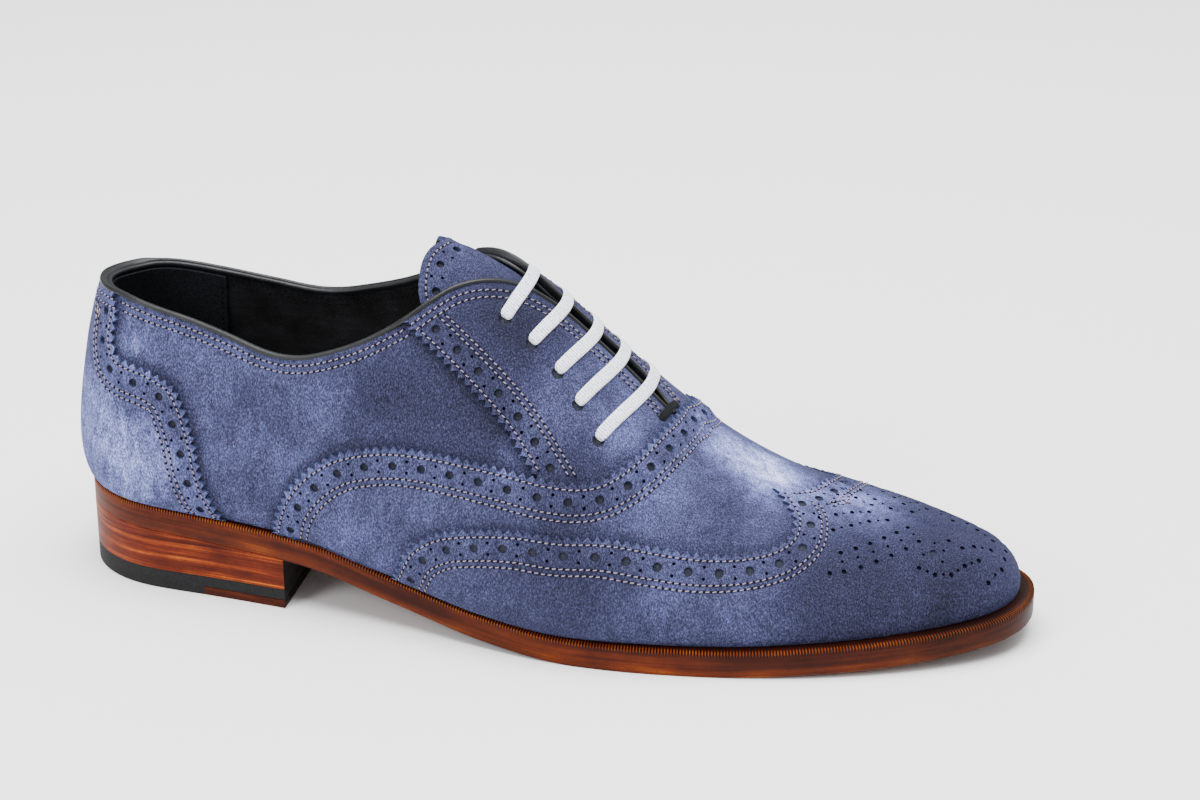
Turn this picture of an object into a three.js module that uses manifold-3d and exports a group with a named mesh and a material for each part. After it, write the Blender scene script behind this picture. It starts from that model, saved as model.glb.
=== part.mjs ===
import * as THREE from "three";
import { mergeVertices } from "three/addons/utils/BufferGeometryUtils.js";
import Module from "manifold-3d";

// A right brogue dress shoe, in millimetres. +X to the toe, +Y to the inner side of the foot, +Z up.
// The origin is the middle of the heel's floor face.

const wasm = await Module();
wasm.setup();

// Driving sizes of the last
const SHOE_LENGTH = 305;
const BALL_WIDTH = 98;
const INSTEP_HEIGHT = 100;
const SWELL_HEIGHT = 17;
const FEATHER_HEIGHT = 5;

// Driving sizes of the bottom
const HEEL_RISE = 21.6;
const TOE_SPRING = 7.2;
const WELT_REACH = 7;
const WELT_THICKNESS = 3;
const SOLE_THICKNESS = 5;
const INSOLE_THICKNESS = 4;
const HEEL_LENGTH = 73;
const RUBBER_THICKNESS = 3.8;
const INSET_THICKNESS = 2.8;
const INSET_LENGTH = 28;

// Driving sizes of the upper
const UPPER_WALL = 2;
const PANEL_THICKNESS = 1;
const BINDING_HEIGHT = 2.6;
const BINDING_PROUD = 0.4;
const TONGUE_THICKNESS = 1.6;
const LACE_WIDTH = 4;
const LACE_THICKNESS = 1.2;
const TACK_THICKNESS = 0.8;
const CLEARANCE = 0.3;

// Sections of the last, from the heel back to the toe tip. foot and top are shares of the length;
// lateral, medial, lean and swell of the ball width; rise of the instep height; edge of the welt reach.
const SECTION_COLUMNS = [
  "foot", "lateral", "medial", "top", "lean", "rise", "swell", "roundLateral", "roundMedial", "edge",
];
const SECTION_ROWS = {
  heelBack: [0.003, 0.0, 0.0, 0.125, 0.0, 0.8, 0.03, 0.36, 0.36, 0.14],
  heelTurn: [0.02, 0.138, 0.145, 0.125, 0.0, 0.8, 0.032, 0.42, 0.42, 0.17],
  heelSide: [0.066, 0.238, 0.252, 0.135, 0.0, 0.82, 0.034, 0.5, 0.5, 0.2],
  heelFront: [0.13, 0.272, 0.292, 0.175, 0.0, 0.86, 0.036, 0.62, 0.62, 0.23],
  breast: [0.205, 0.3, 0.3, 0.24, 0.0, 0.93, 0.034, 0.74, 0.74, 0.26],
  waistBack: [0.3, 0.342, 0.285, 0.32, 0.01, 1.0, 0.032, 0.86, 0.84, 0.32],
  waist: [0.4, 0.395, 0.275, 0.4, 0.02, 1.03, 0.034, 1.0, 1.0, 0.4],
  waistFront: [0.5, 0.462, 0.325, 0.49, 0.03, 0.925, 0.038, 1.1, 1.1, 0.5],
  ballBack: [0.59, 0.48, 0.385, 0.575, 0.04, 0.71, 0.036, 1.14, 1.16, 0.68],
  ball: [0.675, 0.455, 0.435, 0.655, 0.04, 0.495, 0.03, 1.12, 1.16, 0.84],
  ballFront: [0.755, 0.412, 0.425, 0.73, 0.04, 0.35, 0.022, 1.04, 1.1, 0.92],
  toeBack: [0.828, 0.35, 0.372, 0.795, 0.03, 0.28, 0.016, 0.96, 1.0, 0.95],
  toeSide: [0.888, 0.278, 0.29, 0.845, 0.02, 0.24, 0.01, 0.9, 0.92, 0.97],
  toeTurn: [0.938, 0.195, 0.19, 0.875, 0.0, 0.212, 0.01, 0.84, 0.86, 1.0],
  toeRound: [0.969, 0.106, 0.098, 0.888, 0.0, 0.197, 0.01, 0.82, 0.82, 1.0],
  toeTip: [0.978, 0.0, 0.0, 0.892, 0.0, 0.19, 0.01, 0.82, 0.82, 1.0],
};

// Side view of the sole's underside. at is a share of the length, heel of the heel rise, toe of the toe spring.
const SOLE_COLUMNS = ["at", "heel", "toe"];
const SOLE_ROWS = {
  back: [-0.02, 1.02, 0],
  seat: [0.13, 0.9, 0],
  breast: [0.265, 0.745, 0],
  arch: [0.36, 0.42, 0],
  waist: [0.46, 0.125, 0],
  flatBack: [0.56, 0, 0],
  flatFront: [0.68, 0, 0],
  treadEnd: [0.8, 0, 0.19],
  toe: [0.9, 0, 0.47],
  tip: [1.02, 0, 1.06],
};

// Pattern lines on the last. round counts sections from the heel back, up goes from the welt 0 to the ridge 1.
const RIM = [
  [0, 0.655], [0.9, 0.65], [1.5, 0.642], [2.1, 0.61], [2.9, 0.552], [3.55, 0.492], [4.1, 0.44],
  [4.45, 0.427], [4.78, 0.445], [5.2, 0.497], [5.61, 0.573], [5.88, 0.645], [6.12, 0.72], [6.38, 0.79],
  [6.62, 0.843], [6.9, 0.874], [7.3, 0.889], [7.8, 0.905], [8.25, 0.93], [8.5, 0.962], [8.62, 1.0],
];
const COUNTER_EDGE = [
  [1.3, 0.66], [1.36, 0.62], [1.62, 0.56], [1.66, 0.475], [1.78, 0.42], [2.0, 0.402], [2.35, 0.388],
  [2.65, 0.366], [2.9, 0.338], [3.06, 0.298], [3.2, 0.245], [3.32, 0.19], [3.4, 0.13], [3.5, 0.07],
  [3.64, 0.0],
];
const EYESTAY_EDGE = [
  [5.5, 0.592], [5.74, 0.548], [6.04, 0.509], [6.44, 0.463], [6.72, 0.428], [6.94, 0.389], [7.2, 0.334],
];
const VAMP_EDGE = [
  [4.26, 0.0], [4.32, 0.035], [4.41, 0.082], [4.54, 0.13], [4.76, 0.182], [5.07, 0.232], [5.5, 0.271],
  [5.92, 0.293], [6.35, 0.314], [6.8, 0.337], [7.22, 0.362], [7.62, 0.4], [7.9, 0.452], [8.16, 0.548],
  [8.4, 0.66], [8.6, 0.78], [8.72, 0.89], [8.76, 1.0],
];
const CAP_EDGE = [
  [5.62, 0.0], [5.7, 0.04], [5.84, 0.092], [6.1, 0.14], [6.4, 0.174], [6.98, 0.222], [7.45, 0.252],
  [8.0, 0.3], [8.58, 0.337], [9.0, 0.368], [9.4, 0.412], [9.75, 0.467], [10.0, 0.53], [10.14, 0.6],
  [10.15, 0.67], [10.06, 0.75], [9.9, 0.84], [9.78, 0.92], [9.72, 1.0],
];
const TONGUE_EDGE = [
  [8.9, 0.68], [8.2, 0.62], [7.4, 0.6], [6.7, 0.585], [6.2, 0.595], [5.86, 0.62], [5.76, 0.66],
  [5.77, 0.73], [5.86, 0.81], [5.96, 0.88], [6.04, 0.94], [6.07, 1.0],
];
const TACK_EDGE = [[8.5, 1.0], [8.51, 0.93], [8.58, 0.885], [8.7, 0.885], [8.76, 0.93], [8.77, 1.0]];

// Eyelets, and how many sections further forward the lace crosses the ridge
const EYELET_COLUMNS = ["round", "up", "lead"];
const EYELET_ROWS = [
  [6.69, 0.711, 0.17],
  [6.99, 0.689, 0.26],
  [7.29, 0.66, 0.32],
  [7.54, 0.612, 0.4],
  [7.8, 0.553, 0.5],
];

// How far the tongue and the facings run on under the vamp
const TONGUE_ROOT = { round: 9.3, up: 0.72 };
const EYESTAY_ROOT = 9.5;

// Fineness of the faceted surfaces
const SHEET_COLUMNS = 40;
const SHEET_ROWS = 10;
const LINE_STEPS = 2;
const LACE_STEPS = 8;
const UP_SCALE = 10;
const BOTTOM_STATIONS = 30;

const TOE = Object.keys(SECTION_ROWS).length - 1;
const ROUND = 2 * TOE;

const SOLE_EDGE = WELT_THICKNESS + CLEARANCE + SOLE_THICKNESS;
const OVERLAY_IN = CLEARANCE;
const PANEL_OUT = OVERLAY_IN + PANEL_THICKNESS;
const CAP_OUT = OVERLAY_IN + 2 * PANEL_THICKNESS;
const TONGUE_OUT = -UPPER_WALL - 2 * CLEARANCE;
const LACE_IN = PANEL_OUT + CLEARANCE;
const TOP_PIECE = RUBBER_THICKNESS + INSET_THICKNESS;
const REST_CENTRE = HEEL_LENGTH / 2;

const leather = { roughness: 0.45, metalness: 0 };
const suede = { roughness: 0.95, metalness: 0 };
const FINISH = {
  suede: { color: 0x5d668f, ...suede },
  trimSuede: { color: 0x4b5478, ...suede },
  binding: { color: 0x2b2d33, ...leather },
  lining: { color: 0x17181b, ...leather },
  insole: { color: 0x2a2522, ...leather },
  brownLeather: { color: 0x6b2c14, ...leather },
  rubber: { color: 0x2c2c2e, roughness: 0.8, metalness: 0 },
  lace: { color: 0xdfe2e8, roughness: 0.9, metalness: 0 },
};

function readTable(columns, rows) {
  return rows.map((row) => Object.fromEntries(columns.map((name, i) => [name, row[i]])));
}

// Closed smooth curve through the sections, out along the outer side and back along the inner side
function loopOfSections() {
  const sections = readTable(SECTION_COLUMNS, Object.values(SECTION_ROWS));
  const loop = [];
  for (let k = 0; k < ROUND; k++) {
    const inner = k > TOE;
    const row = sections[inner ? ROUND - k : k];
    loop.push({
      footX: row.foot * SHOE_LENGTH,
      footY: (inner ? row.medial : -row.lateral) * BALL_WIDTH,
      topX: row.top * SHOE_LENGTH,
      topY: row.lean * BALL_WIDTH,
      rise: row.rise * INSTEP_HEIGHT,
      swell: row.swell * BALL_WIDTH,
      roundness: inner ? row.roundMedial : row.roundLateral,
      edge: row.edge * WELT_REACH,
    });
  }
  return loop;
}

function splineControls(values) {
  const count = values.length;
  let controls = values.slice();
  for (let pass = 0; pass < 60; pass++) {
    const last = controls;
    controls = values.map((value, i) => {
      const around = last[(i + count - 1) % count] + last[(i + 1) % count];
      return (6 * value - around) / 4;
    });
  }
  return controls;
}

function splineValue(controls, t) {
  const count = controls.length;
  const start = Math.floor(t);
  const f = t - start;
  const weights = [(1 - f) ** 3, 3 * f ** 3 - 6 * f * f + 4, -3 * f ** 3 + 3 * f * f + 3 * f + 1, f ** 3];
  return weights.reduce((sum, weight, k) => sum + (weight * controls[(start - 1 + k + 2 * count) % count]) / 6, 0);
}

const loop = loopOfSections();
const controls = Object.fromEntries(
  Object.keys(loop[0]).map((name) => [name, splineControls(loop.map((row) => row[name]))]),
);

function section(round) {
  return Object.fromEntries(Object.entries(controls).map(([name, values]) => [name, splineValue(values, round)]));
}

// Height of the sole's underside, a smooth curve that stays level between two equal rows
const soleLine = readTable(SOLE_COLUMNS, Object.values(SOLE_ROWS)).map((row) => ({
  x: row.at * SHOE_LENGTH,
  z: row.heel * HEEL_RISE + row.toe * TOE_SPRING,
}));
const soleSlopes = soleLine.map((point, i) => {
  const before = soleLine[Math.max(i - 1, 0)];
  const after = soleLine[Math.min(i + 1, soleLine.length - 1)];
  if (before === point || after === point) return (after.z - before.z) / (after.x - before.x);
  const rising = (point.z - before.z) / (point.x - before.x);
  const next = (after.z - point.z) / (after.x - point.x);
  return rising * next > 0 ? (2 * rising * next) / (rising + next) : 0;
});

function underside(x) {
  const last = soleLine.length - 2;
  const i = Math.min(Math.max(soleLine.findIndex((point) => point.x > x) - 1, 0), last);
  const [a, b] = [soleLine[i], soleLine[i + 1]];
  const span = b.x - a.x;
  const t = (x - a.x) / span;
  const ease = t * t * (3 - 2 * t);
  const bend = span * (t * (1 - t) ** 2 * soleSlopes[i] - t * t * (1 - t) * soleSlopes[i + 1]);
  return a.z + (b.z - a.z) * ease + bend;
}

const weltTop = (x) => underside(x) + SOLE_EDGE;

// The outer face of the quarters: one half section for every place round the last
function lastPoint(round, up) {
  if (up > 1) return lastPoint(ROUND - round, 2 - up);
  const cut = section(round);
  const turn = (up * Math.PI) / 2;
  const base = weltTop(cut.footX) + CLEARANCE;
  const crown = weltTop(cut.topX) + cut.rise;
  const z = base + (crown - base) * Math.sin(turn);
  const toFoot = new THREE.Vector2(cut.footX - cut.topX, cut.footY - cut.topY);
  const share = Math.max(z - base, 0) / SWELL_HEIGHT;
  const swell = cut.swell * share * Math.exp(1 - share) * Math.cos(turn);
  const reach = toFoot.length() * Math.max(Math.cos(turn), 0) ** cut.roundness + swell;
  toFoot.setLength(reach);
  return new THREE.Vector3(cut.topX + toFoot.x, cut.topY + toFoot.y, z);
}

const ROUND_STEP = 0.05;
const UP_STEP = 0.02;
const RIDGE_END_SHARE = 0.9;

// How the surface runs for one section further on, and for the whole way up. Across the ridge both come
// from a section that stays clear of the toe, where the ridge ends in one point.
function slopes(round, up) {
  if (up > 1 - UP_STEP / 2) return ridgeSlopes(round);
  const low = Math.max(up - UP_STEP, 0);
  const high = up + UP_STEP;
  const along = lastPoint(round + ROUND_STEP, up).sub(lastPoint(round - ROUND_STEP, up));
  const upward = lastPoint(round, high).sub(lastPoint(round, low));
  return { along: along.divideScalar(2 * ROUND_STEP), upward: upward.divideScalar(high - low) };
}

function ridgeSlopes(round) {
  const side = round > TOE ? -1 : 1;
  const lateral = side > 0 ? round : ROUND - round;
  const clear = Math.min(lateral, TOE * RIDGE_END_SHARE);
  const along = lastPoint(clear + ROUND_STEP, 1).sub(lastPoint(clear - ROUND_STEP, 1));
  const upward = lastPoint(clear, 1 + UP_STEP).sub(lastPoint(clear, 1 - UP_STEP));
  return {
    along: along.multiplyScalar(side / (2 * ROUND_STEP)),
    upward: upward.multiplyScalar(side / (2 * UP_STEP)),
  };
}

// Layers lie on top of one another, but side by side where they meet the welt
function outward(round, up) {
  const { along, upward } = slopes(round, up);
  const normal = along.cross(upward).normalize();
  const rise = lastPoint(round, up).z - lastPoint(round, 0).z;
  normal.z *= Math.min(rise / FEATHER_HEIGHT, 1);
  return normal.normalize();
}

function place(round, up, layer) {
  const point = lastPoint(round, up);
  return point.addScaledVector(outward(round, up), layer);
}

// A line moved sideways over the last by a real distance, to its left as it runs
function movedLine(line, distance) {
  return line.map((point, i) => {
    const before = line[Math.max(i - 1, 0)];
    const after = line[Math.min(i + 1, line.length - 1)];
    const { along, upward } = slopes(Math.min(point[0], TOE), Math.min(point[1], 0.97));
    const heading = along.clone().multiplyScalar(after[0] - before[0]);
    heading.addScaledVector(upward, after[1] - before[1]).normalize();
    const normal = along.clone().cross(upward).normalize();
    const side = normal.cross(heading);
    const [aa, ab, bb] = [along.dot(along), along.dot(upward), upward.dot(upward)];
    const [sa, sb] = [side.dot(along), side.dot(upward)];
    const scale = distance / (aa * bb - ab * ab);
    return [point[0] + scale * (sa * bb - sb * ab), point[1] + scale * (sb * aa - sa * ab)];
  });
}

function smoothLine(points) {
  const curve = new THREE.SplineCurve(points.map(([x, y]) => new THREE.Vector2(x, y)));
  return curve.getPoints((points.length - 1) * LINE_STEPS).map((point) => [point.x, point.y]);
}

// Cuts are made on the flat sheet, where one column is one section, and then laid on the last
function solidOf(geometry) {
  const bare = geometry.clone();
  bare.deleteAttribute("normal");
  bare.deleteAttribute("uv");
  const merged = mergeVertices(bare, 1e-5);
  return new wasm.Manifold(
    new wasm.Mesh({
      numProp: 3,
      vertProperties: new Float32Array(merged.attributes.position.array),
      triVerts: new Uint32Array(merged.index.array),
    }),
  );
}

const sheet = solidOf(
  new THREE.BoxGeometry(TOE, UP_SCALE, 1, SHEET_COLUMNS, SHEET_ROWS, 1).translate(TOE / 2, UP_SCALE / 2, 0.5),
);

function prism(line) {
  const outline = new THREE.Shape(line.map(([x, y]) => new THREE.Vector2(x, y * UP_SCALE)));
  return solidOf(new THREE.ExtrudeGeometry(outline, { depth: 3, bevelEnabled: false }).translate(0, 0, -1));
}

// Flat sheet to a shell on the last. Both sides are joined along the ridge and at the heel and toe.
function layOnLast(flat, inner, outer, sides) {
  const { vertProperties, triVerts } = flat.getMesh();
  const corners = [];
  const near = (a, b) => Math.abs(a - b) < 1e-4;
  const corner = (i) => [vertProperties[3 * i], vertProperties[3 * i + 1] / UP_SCALE, vertProperties[3 * i + 2]];
  const joined = sides.length > 1;
  for (let t = 0; t < triVerts.length; t += 3) {
    const triangle = [corner(triVerts[t]), corner(triVerts[t + 1]), corner(triVerts[t + 2])];
    const onSeam =
      triangle.every(([round]) => near(round, 0)) ||
      triangle.every(([round]) => near(round, TOE)) ||
      triangle.every(([, up]) => near(up, 1));
    if (joined && onSeam) continue;
    for (const side of sides) {
      const points = triangle.map(([round, up, through]) => {
        const at = side === "medial" ? ROUND - round : round;
        return place(at, up, inner + (outer - inner) * through);
      });
      if (side === "medial") points.reverse();
      corners.push(...points);
    }
  }
  return closedMesh(corners, 1e-3);
}

const BOTH = ["lateral", "medial"];

const rimLine = smoothLine(RIM);
const openingAbove = (drop) => {
  const line = drop ? movedLine(rimLine, -drop) : rimLine;
  const end = line.at(-1);
  return prism([[-1, line[0][1]], ...line, [end[0], 1.5], [-1, 1.5]]);
};
const opening = openingAbove(0);
const wallOpening = openingAbove(BINDING_HEIGHT + CLEARANCE);
const belowBinding = openingAbove(BINDING_HEIGHT);

function aheadOf(line, gap) {
  const moved = gap ? movedLine(line, gap) : line;
  const [first, last] = [moved[0], moved.at(-1)];
  return prism([[first[0], -0.5], ...moved, [last[0], 1.5], [TOE + 1, 1.5], [TOE + 1, -0.5]]);
}

const vampLine = smoothLine(VAMP_EDGE);
const capLine = smoothLine(CAP_EDGE);

function upperWall() {
  return layOnLast(sheet.subtract(wallOpening), -UPPER_WALL, 0, BOTH);
}

function vamp() {
  const flat = sheet.intersect(aheadOf(vampLine, 0)).subtract(aheadOf(capLine, CLEARANCE));
  return layOnLast(flat, OVERLAY_IN, PANEL_OUT, BOTH);
}

function wingCap() {
  return layOnLast(sheet.intersect(aheadOf(capLine, 0)), OVERLAY_IN, CAP_OUT, BOTH);
}

function heelCounter() {
  const line = smoothLine(COUNTER_EDGE);
  const region = prism([[-0.5, -0.5], [-0.5, 1], [line[0][0], 1], ...line, [line.at(-1)[0], -0.5]]);
  return layOnLast(sheet.intersect(region).subtract(wallOpening), OVERLAY_IN, PANEL_OUT, BOTH);
}

function eyestay(side) {
  const line = smoothLine(EYESTAY_EDGE);
  const region = prism([[line[0][0], 1.2], ...line, [EYESTAY_ROOT, line.at(-1)[1]], [EYESTAY_ROOT, 1.2]]);
  const flat = sheet.intersect(region).subtract(wallOpening).subtract(aheadOf(vampLine, CLEARANCE));
  return layOnLast(flat, OVERLAY_IN, PANEL_OUT, [side]);
}

function binding() {
  const flat = sheet.intersect(belowBinding).subtract(opening);
  return layOnLast(flat, -UPPER_WALL - BINDING_PROUD / 2, BINDING_PROUD, BOTH);
}

function tongue() {
  const line = smoothLine(TONGUE_EDGE);
  const { round, up } = TONGUE_ROOT;
  const flat = sheet.intersect(prism([[round, 1.5], [round, up], ...line, [line.at(-1)[0], 1.5]]));
  return layOnLast(flat, TONGUE_OUT - TONGUE_THICKNESS, TONGUE_OUT, BOTH);
}

function throatTack() {
  const line = smoothLine(TACK_EDGE);
  const flat = sheet.intersect(prism([...line, [line.at(-1)[0], 1.2], [line[0][0], 1.2]]));
  return layOnLast(flat, LACE_IN, LACE_IN + TACK_THICKNESS, BOTH);
}

function laceBar({ round, up, lead }) {
  const middle = [];
  for (let i = 0; i <= LACE_STEPS + 1; i++) {
    const share = i / LACE_STEPS;
    middle.push([round + lead * Math.sin((share * Math.PI) / 2), up + (1 - up) * share]);
  }
  const back = movedLine(middle, LACE_WIDTH / 2);
  const front = movedLine(middle, -LACE_WIDTH / 2);
  const flat = sheet.intersect(prism([...back, [back.at(-1)[0], 1.2], [front.at(-1)[0], 1.2], ...front.reverse()]));
  return layOnLast(flat, LACE_IN, LACE_IN + LACE_THICKNESS, BOTH);
}

// Place on the floor plan, a distance outside the foot of the upper
function footprint(round, reach) {
  const [here, ahead, behind] = [section(round), section(round + 0.01), section(round - 0.01)];
  const out = new THREE.Vector2(ahead.footY - behind.footY, behind.footX - ahead.footX).normalize();
  return [here.footX + out.x * reach, here.footY + out.y * reach];
}

const weltEdge = (round) => footprint(round, section(round).edge);

function stations(outline, side, from, to, count) {
  const points = [];
  for (let i = 0; i <= count; i++) {
    const round = from + ((to - from) * i) / count;
    points.push(outline(side === "medial" ? ROUND - round : round));
  }
  return points;
}

// One step of a plate between two height lines: its top, its bottom and its two sides
function plateStep(ring, top, bottom) {
  const [a, b, c, d] = ring.map(([x, y]) => new THREE.Vector3(x, y, top(x)));
  const [e, f, g, h] = ring.map(([x, y]) => new THREE.Vector3(x, y, bottom(x)));
  return [a, b, c, a, c, d, e, g, f, e, h, g, a, e, f, a, f, b, c, g, h, c, h, d];
}

function plateEnd(left, right, top, bottom) {
  const [a, b] = [left, right].map(([x, y]) => new THREE.Vector3(x, y, top(x)));
  const [c, d] = [left, right].map(([x, y]) => new THREE.Vector3(x, y, bottom(x)));
  return [a, b, d, a, d, c];
}

function closedMesh(corners, tolerance) {
  const geometry = mergeVertices(new THREE.BufferGeometry().setFromPoints(corners), tolerance);
  const index = geometry.index.array;
  const kept = [];
  for (let t = 0; t < index.length; t += 3) {
    const [a, b, c] = index.slice(t, t + 3);
    if (a !== b && b !== c && a !== c) kept.push(a, b, c);
  }
  geometry.setIndex(kept);
  return geometry;
}

function plate(lateral, medial, top, bottom) {
  const corners = [];
  for (let i = 0; i + 1 < lateral.length; i++) {
    corners.push(...plateStep([lateral[i], lateral[i + 1], medial[i + 1], medial[i]], top, bottom));
  }
  corners.push(...plateEnd(lateral[0], medial[0], top, bottom));
  corners.push(...plateEnd(medial.at(-1), lateral.at(-1), top, bottom));
  return closedMesh(corners, 1e-4);
}

function ringPlate(outer, inner, top, bottom) {
  const corners = [];
  for (let i = 0; i < outer.length; i++) {
    const j = (i + 1) % outer.length;
    corners.push(...plateStep([outer[i], outer[j], inner[j], inner[i]], top, bottom));
  }
  return closedMesh(corners, 1e-4);
}

const FOOT_INSET = UPPER_WALL + 2 * CLEARANCE;

function welt() {
  const around = (outline) => {
    const out = stations(outline, "lateral", 0, TOE, BOTTOM_STATIONS);
    const back = stations(outline, "medial", 0, TOE, BOTTOM_STATIONS).reverse();
    return [...out, ...back.slice(1, -1)];
  };
  const inner = around((round) => footprint(round, -FOOT_INSET));
  return ringPlate(around(weltEdge), inner, weltTop, (x) => weltTop(x) - WELT_THICKNESS);
}

function outsole() {
  const sides = BOTH.map((side) => stations(weltEdge, side, 0, TOE, BOTTOM_STATIONS));
  return plate(...sides, (x) => underside(x) + SOLE_THICKNESS, underside);
}

function insole() {
  const outline = (round) => footprint(round, -FOOT_INSET - CLEARANCE);
  const sides = BOTH.map((side) => stations(outline, side, 0, TOE, BOTTOM_STATIONS));
  const bottom = (x) => underside(x) + SOLE_THICKNESS + CLEARANCE;
  return plate(...sides, (x) => bottom(x) + INSOLE_THICKNESS, bottom);
}

function heelSides() {
  return BOTH.map((side) => {
    let [low, high] = [0, TOE / 2];
    for (let pass = 0; pass < 40; pass++) {
      const middle = (low + high) / 2;
      const x = weltEdge(side === "medial" ? ROUND - middle : middle)[0];
      if (x < HEEL_LENGTH) low = middle;
      else high = middle;
    }
    return stations(weltEdge, side, 0, low, 12);
  });
}

function heelStack() {
  return plate(...heelSides(), (x) => underside(x) - CLEARANCE, () => TOP_PIECE + CLEARANCE);
}

function topPiece() {
  const block = solidOf(plate(...heelSides(), () => TOP_PIECE, () => 0));
  const reach = 2 * BALL_WIDTH;
  const box = (start, height) =>
    solidOf(new THREE.BoxGeometry(reach, reach, 2 * height).translate(start + reach / 2, 0, 0));
  const start = HEEL_LENGTH - INSET_LENGTH;
  const asGeometry = (solid) => {
    const mesh = solid.getMesh();
    const geometry = new THREE.BufferGeometry();
    geometry.setAttribute("position", new THREE.BufferAttribute(mesh.vertProperties, 3));
    geometry.setIndex(Array.from(mesh.triVerts));
    return geometry;
  };
  return {
    rubber: asGeometry(block.subtract(box(start, INSET_THICKNESS + CLEARANCE))),
    inset: asGeometry(block.intersect(box(start + CLEARANCE, INSET_THICKNESS))),
  };
}

const shoe = new THREE.Group();
shoe.position.x = -REST_CENTRE;

function add(name, geometry, finish) {
  geometry.computeVertexNormals();
  const mesh = new THREE.Mesh(geometry, new THREE.MeshStandardMaterial(finish));
  mesh.name = name;
  shoe.add(mesh);
}

const heelTip = topPiece();
add("upper", upperWall(), FINISH.suede);
add("vamp", vamp(), FINISH.suede);
add("wing_cap", wingCap(), FINISH.suede);
add("heel_counter", heelCounter(), FINISH.suede);
add("eyestay_lateral", eyestay("lateral"), FINISH.trimSuede);
add("eyestay_medial", eyestay("medial"), FINISH.trimSuede);
add("collar_binding", binding(), FINISH.binding);
add("tongue", tongue(), FINISH.suede);
add("throat_tack", throatTack(), FINISH.binding);
readTable(EYELET_COLUMNS, EYELET_ROWS).forEach((eyelet, i) => {
  add(`lace_bar_${i + 1}`, laceBar(eyelet), FINISH.lace);
});
add("insole", insole(), FINISH.insole);
add("welt", welt(), FINISH.brownLeather);
add("outsole", outsole(), FINISH.brownLeather);
add("heel_stack", heelStack(), FINISH.brownLeather);
add("heel_rubber", heelTip.rubber, FINISH.rubber);
add("heel_inset", heelTip.inset, FINISH.brownLeather);

export default shoe;
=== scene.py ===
import math

import bmesh
import bpy
import numpy as np
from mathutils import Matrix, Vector, kdtree
from mathutils.geometry import delaunay_2d_cdt

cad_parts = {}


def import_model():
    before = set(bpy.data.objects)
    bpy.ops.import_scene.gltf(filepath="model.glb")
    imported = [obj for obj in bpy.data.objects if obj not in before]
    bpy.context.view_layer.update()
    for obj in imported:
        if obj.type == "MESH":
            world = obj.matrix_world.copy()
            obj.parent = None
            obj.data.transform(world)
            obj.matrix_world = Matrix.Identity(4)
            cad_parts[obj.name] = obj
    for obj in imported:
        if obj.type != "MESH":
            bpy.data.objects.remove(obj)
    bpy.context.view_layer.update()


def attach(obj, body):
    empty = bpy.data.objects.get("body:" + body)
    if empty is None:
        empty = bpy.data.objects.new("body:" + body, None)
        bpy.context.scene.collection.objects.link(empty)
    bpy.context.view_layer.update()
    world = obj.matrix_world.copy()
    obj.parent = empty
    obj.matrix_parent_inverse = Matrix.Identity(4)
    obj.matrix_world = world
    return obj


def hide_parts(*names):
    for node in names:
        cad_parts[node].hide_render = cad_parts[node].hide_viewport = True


# A right brogue dress shoe in blue suede on a leather sole. Lengths are in millimetres until a mesh is made,
# with x 0 at the back of the heel. The frame's own origin is the middle of the heel's floor face.

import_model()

# Driving sizes of the last
SHOE_LENGTH = 305.0
BALL_WIDTH = 98.0
INSTEP_HEIGHT = 100.0
SWELL_HEIGHT = 17.0
FEATHER_HEIGHT = 5.0

# Driving sizes of the bottom
HEEL_RISE = 21.6
TOE_SPRING = 7.2
WELT_REACH = 7.0
WELT_THICKNESS = 3.0
WELT_LIP = 2.6
SOLE_THICKNESS = 5.0
INSOLE_THICKNESS = 4.0
HEEL_LENGTH = 73.0
RUBBER_THICKNESS = 3.8
INSET_THICKNESS = 2.8
INSET_LENGTH = 28.0
CLEARANCE = 0.3
SOLE_EDGE = WELT_THICKNESS + CLEARANCE + SOLE_THICKNESS
TOP_PIECE = RUBBER_THICKNESS + INSET_THICKNESS
REST_CENTRE = HEEL_LENGTH / 2
APART = 0.02

# Layers of the upper, outwards from the last's surface
QUARTER_OUT, QUARTER_IN = 0.0, -1.0
LINING_OUT, LINING_IN = -1.05, -2.0
OVERLAY_IN, OVERLAY_OUT = 0.05, 1.4
CAP_IN, CAP_OUT = 1.2, 2.45
PIT_FLOOR = 0.12
EDGE_DENT, PIT_DENT, SEAM_DENT = 0.14, 0.2, 0.16
SEAM_MERGE = 0.002
GRIP_STEP = 0.9
TONGUE_OUT, TONGUE_IN = -2.6, -4.2
LACE_MIDDLE = 1.82
LACE_WIDTH, LACE_THICKNESS = 4.2, 0.82
HIDDEN_LACE_THICKNESS = 0.5

# Brogue band, in from the tips of the pinked teeth
TOOTH_PITCH, TOOTH_DEPTH = 3.0, 1.8
EDGE_ROW = 2.5
PUNCH_ROW = 6.0
DOUBLE_ROWS = (9.7, 11.6)
PUNCH_PITCH, PUNCH_WIDTH = 9.3, 2.8
PAIR_WIDTH, PAIR_SPREAD = 1.05, 1.75
STITCH_PITCH, STITCH_LENGTH, THREAD_WIDTH = 2.05, 1.35, 0.33
STITCH_SLANT, STITCH_INSET = 0.2, 1.0
COLLAR_ROWS = (3.1, 5.2)
COLLAR_CLEAR = 5.5
BINDING_COVER = 1.15
CAP_LAP, FACING_LAP, QUARTER_LAP = 9, 6, 7
TONGUE_SEAM, TONGUE_PUNCHES = 2.4, 5.6
GRIP_DROP, GRIP_FOOT, GRIP_SEAM = 1.9, 0.02, 1.6
FACING_EXTRA, FAR_FACING_EXTRA = 1.1, 3.4
INNER_RIM_RISE, INNER_RIM_TURN, INNER_RIM_RUN = 0.034, 4.7, 1.1
GRIP_TURN = 2.95
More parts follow.
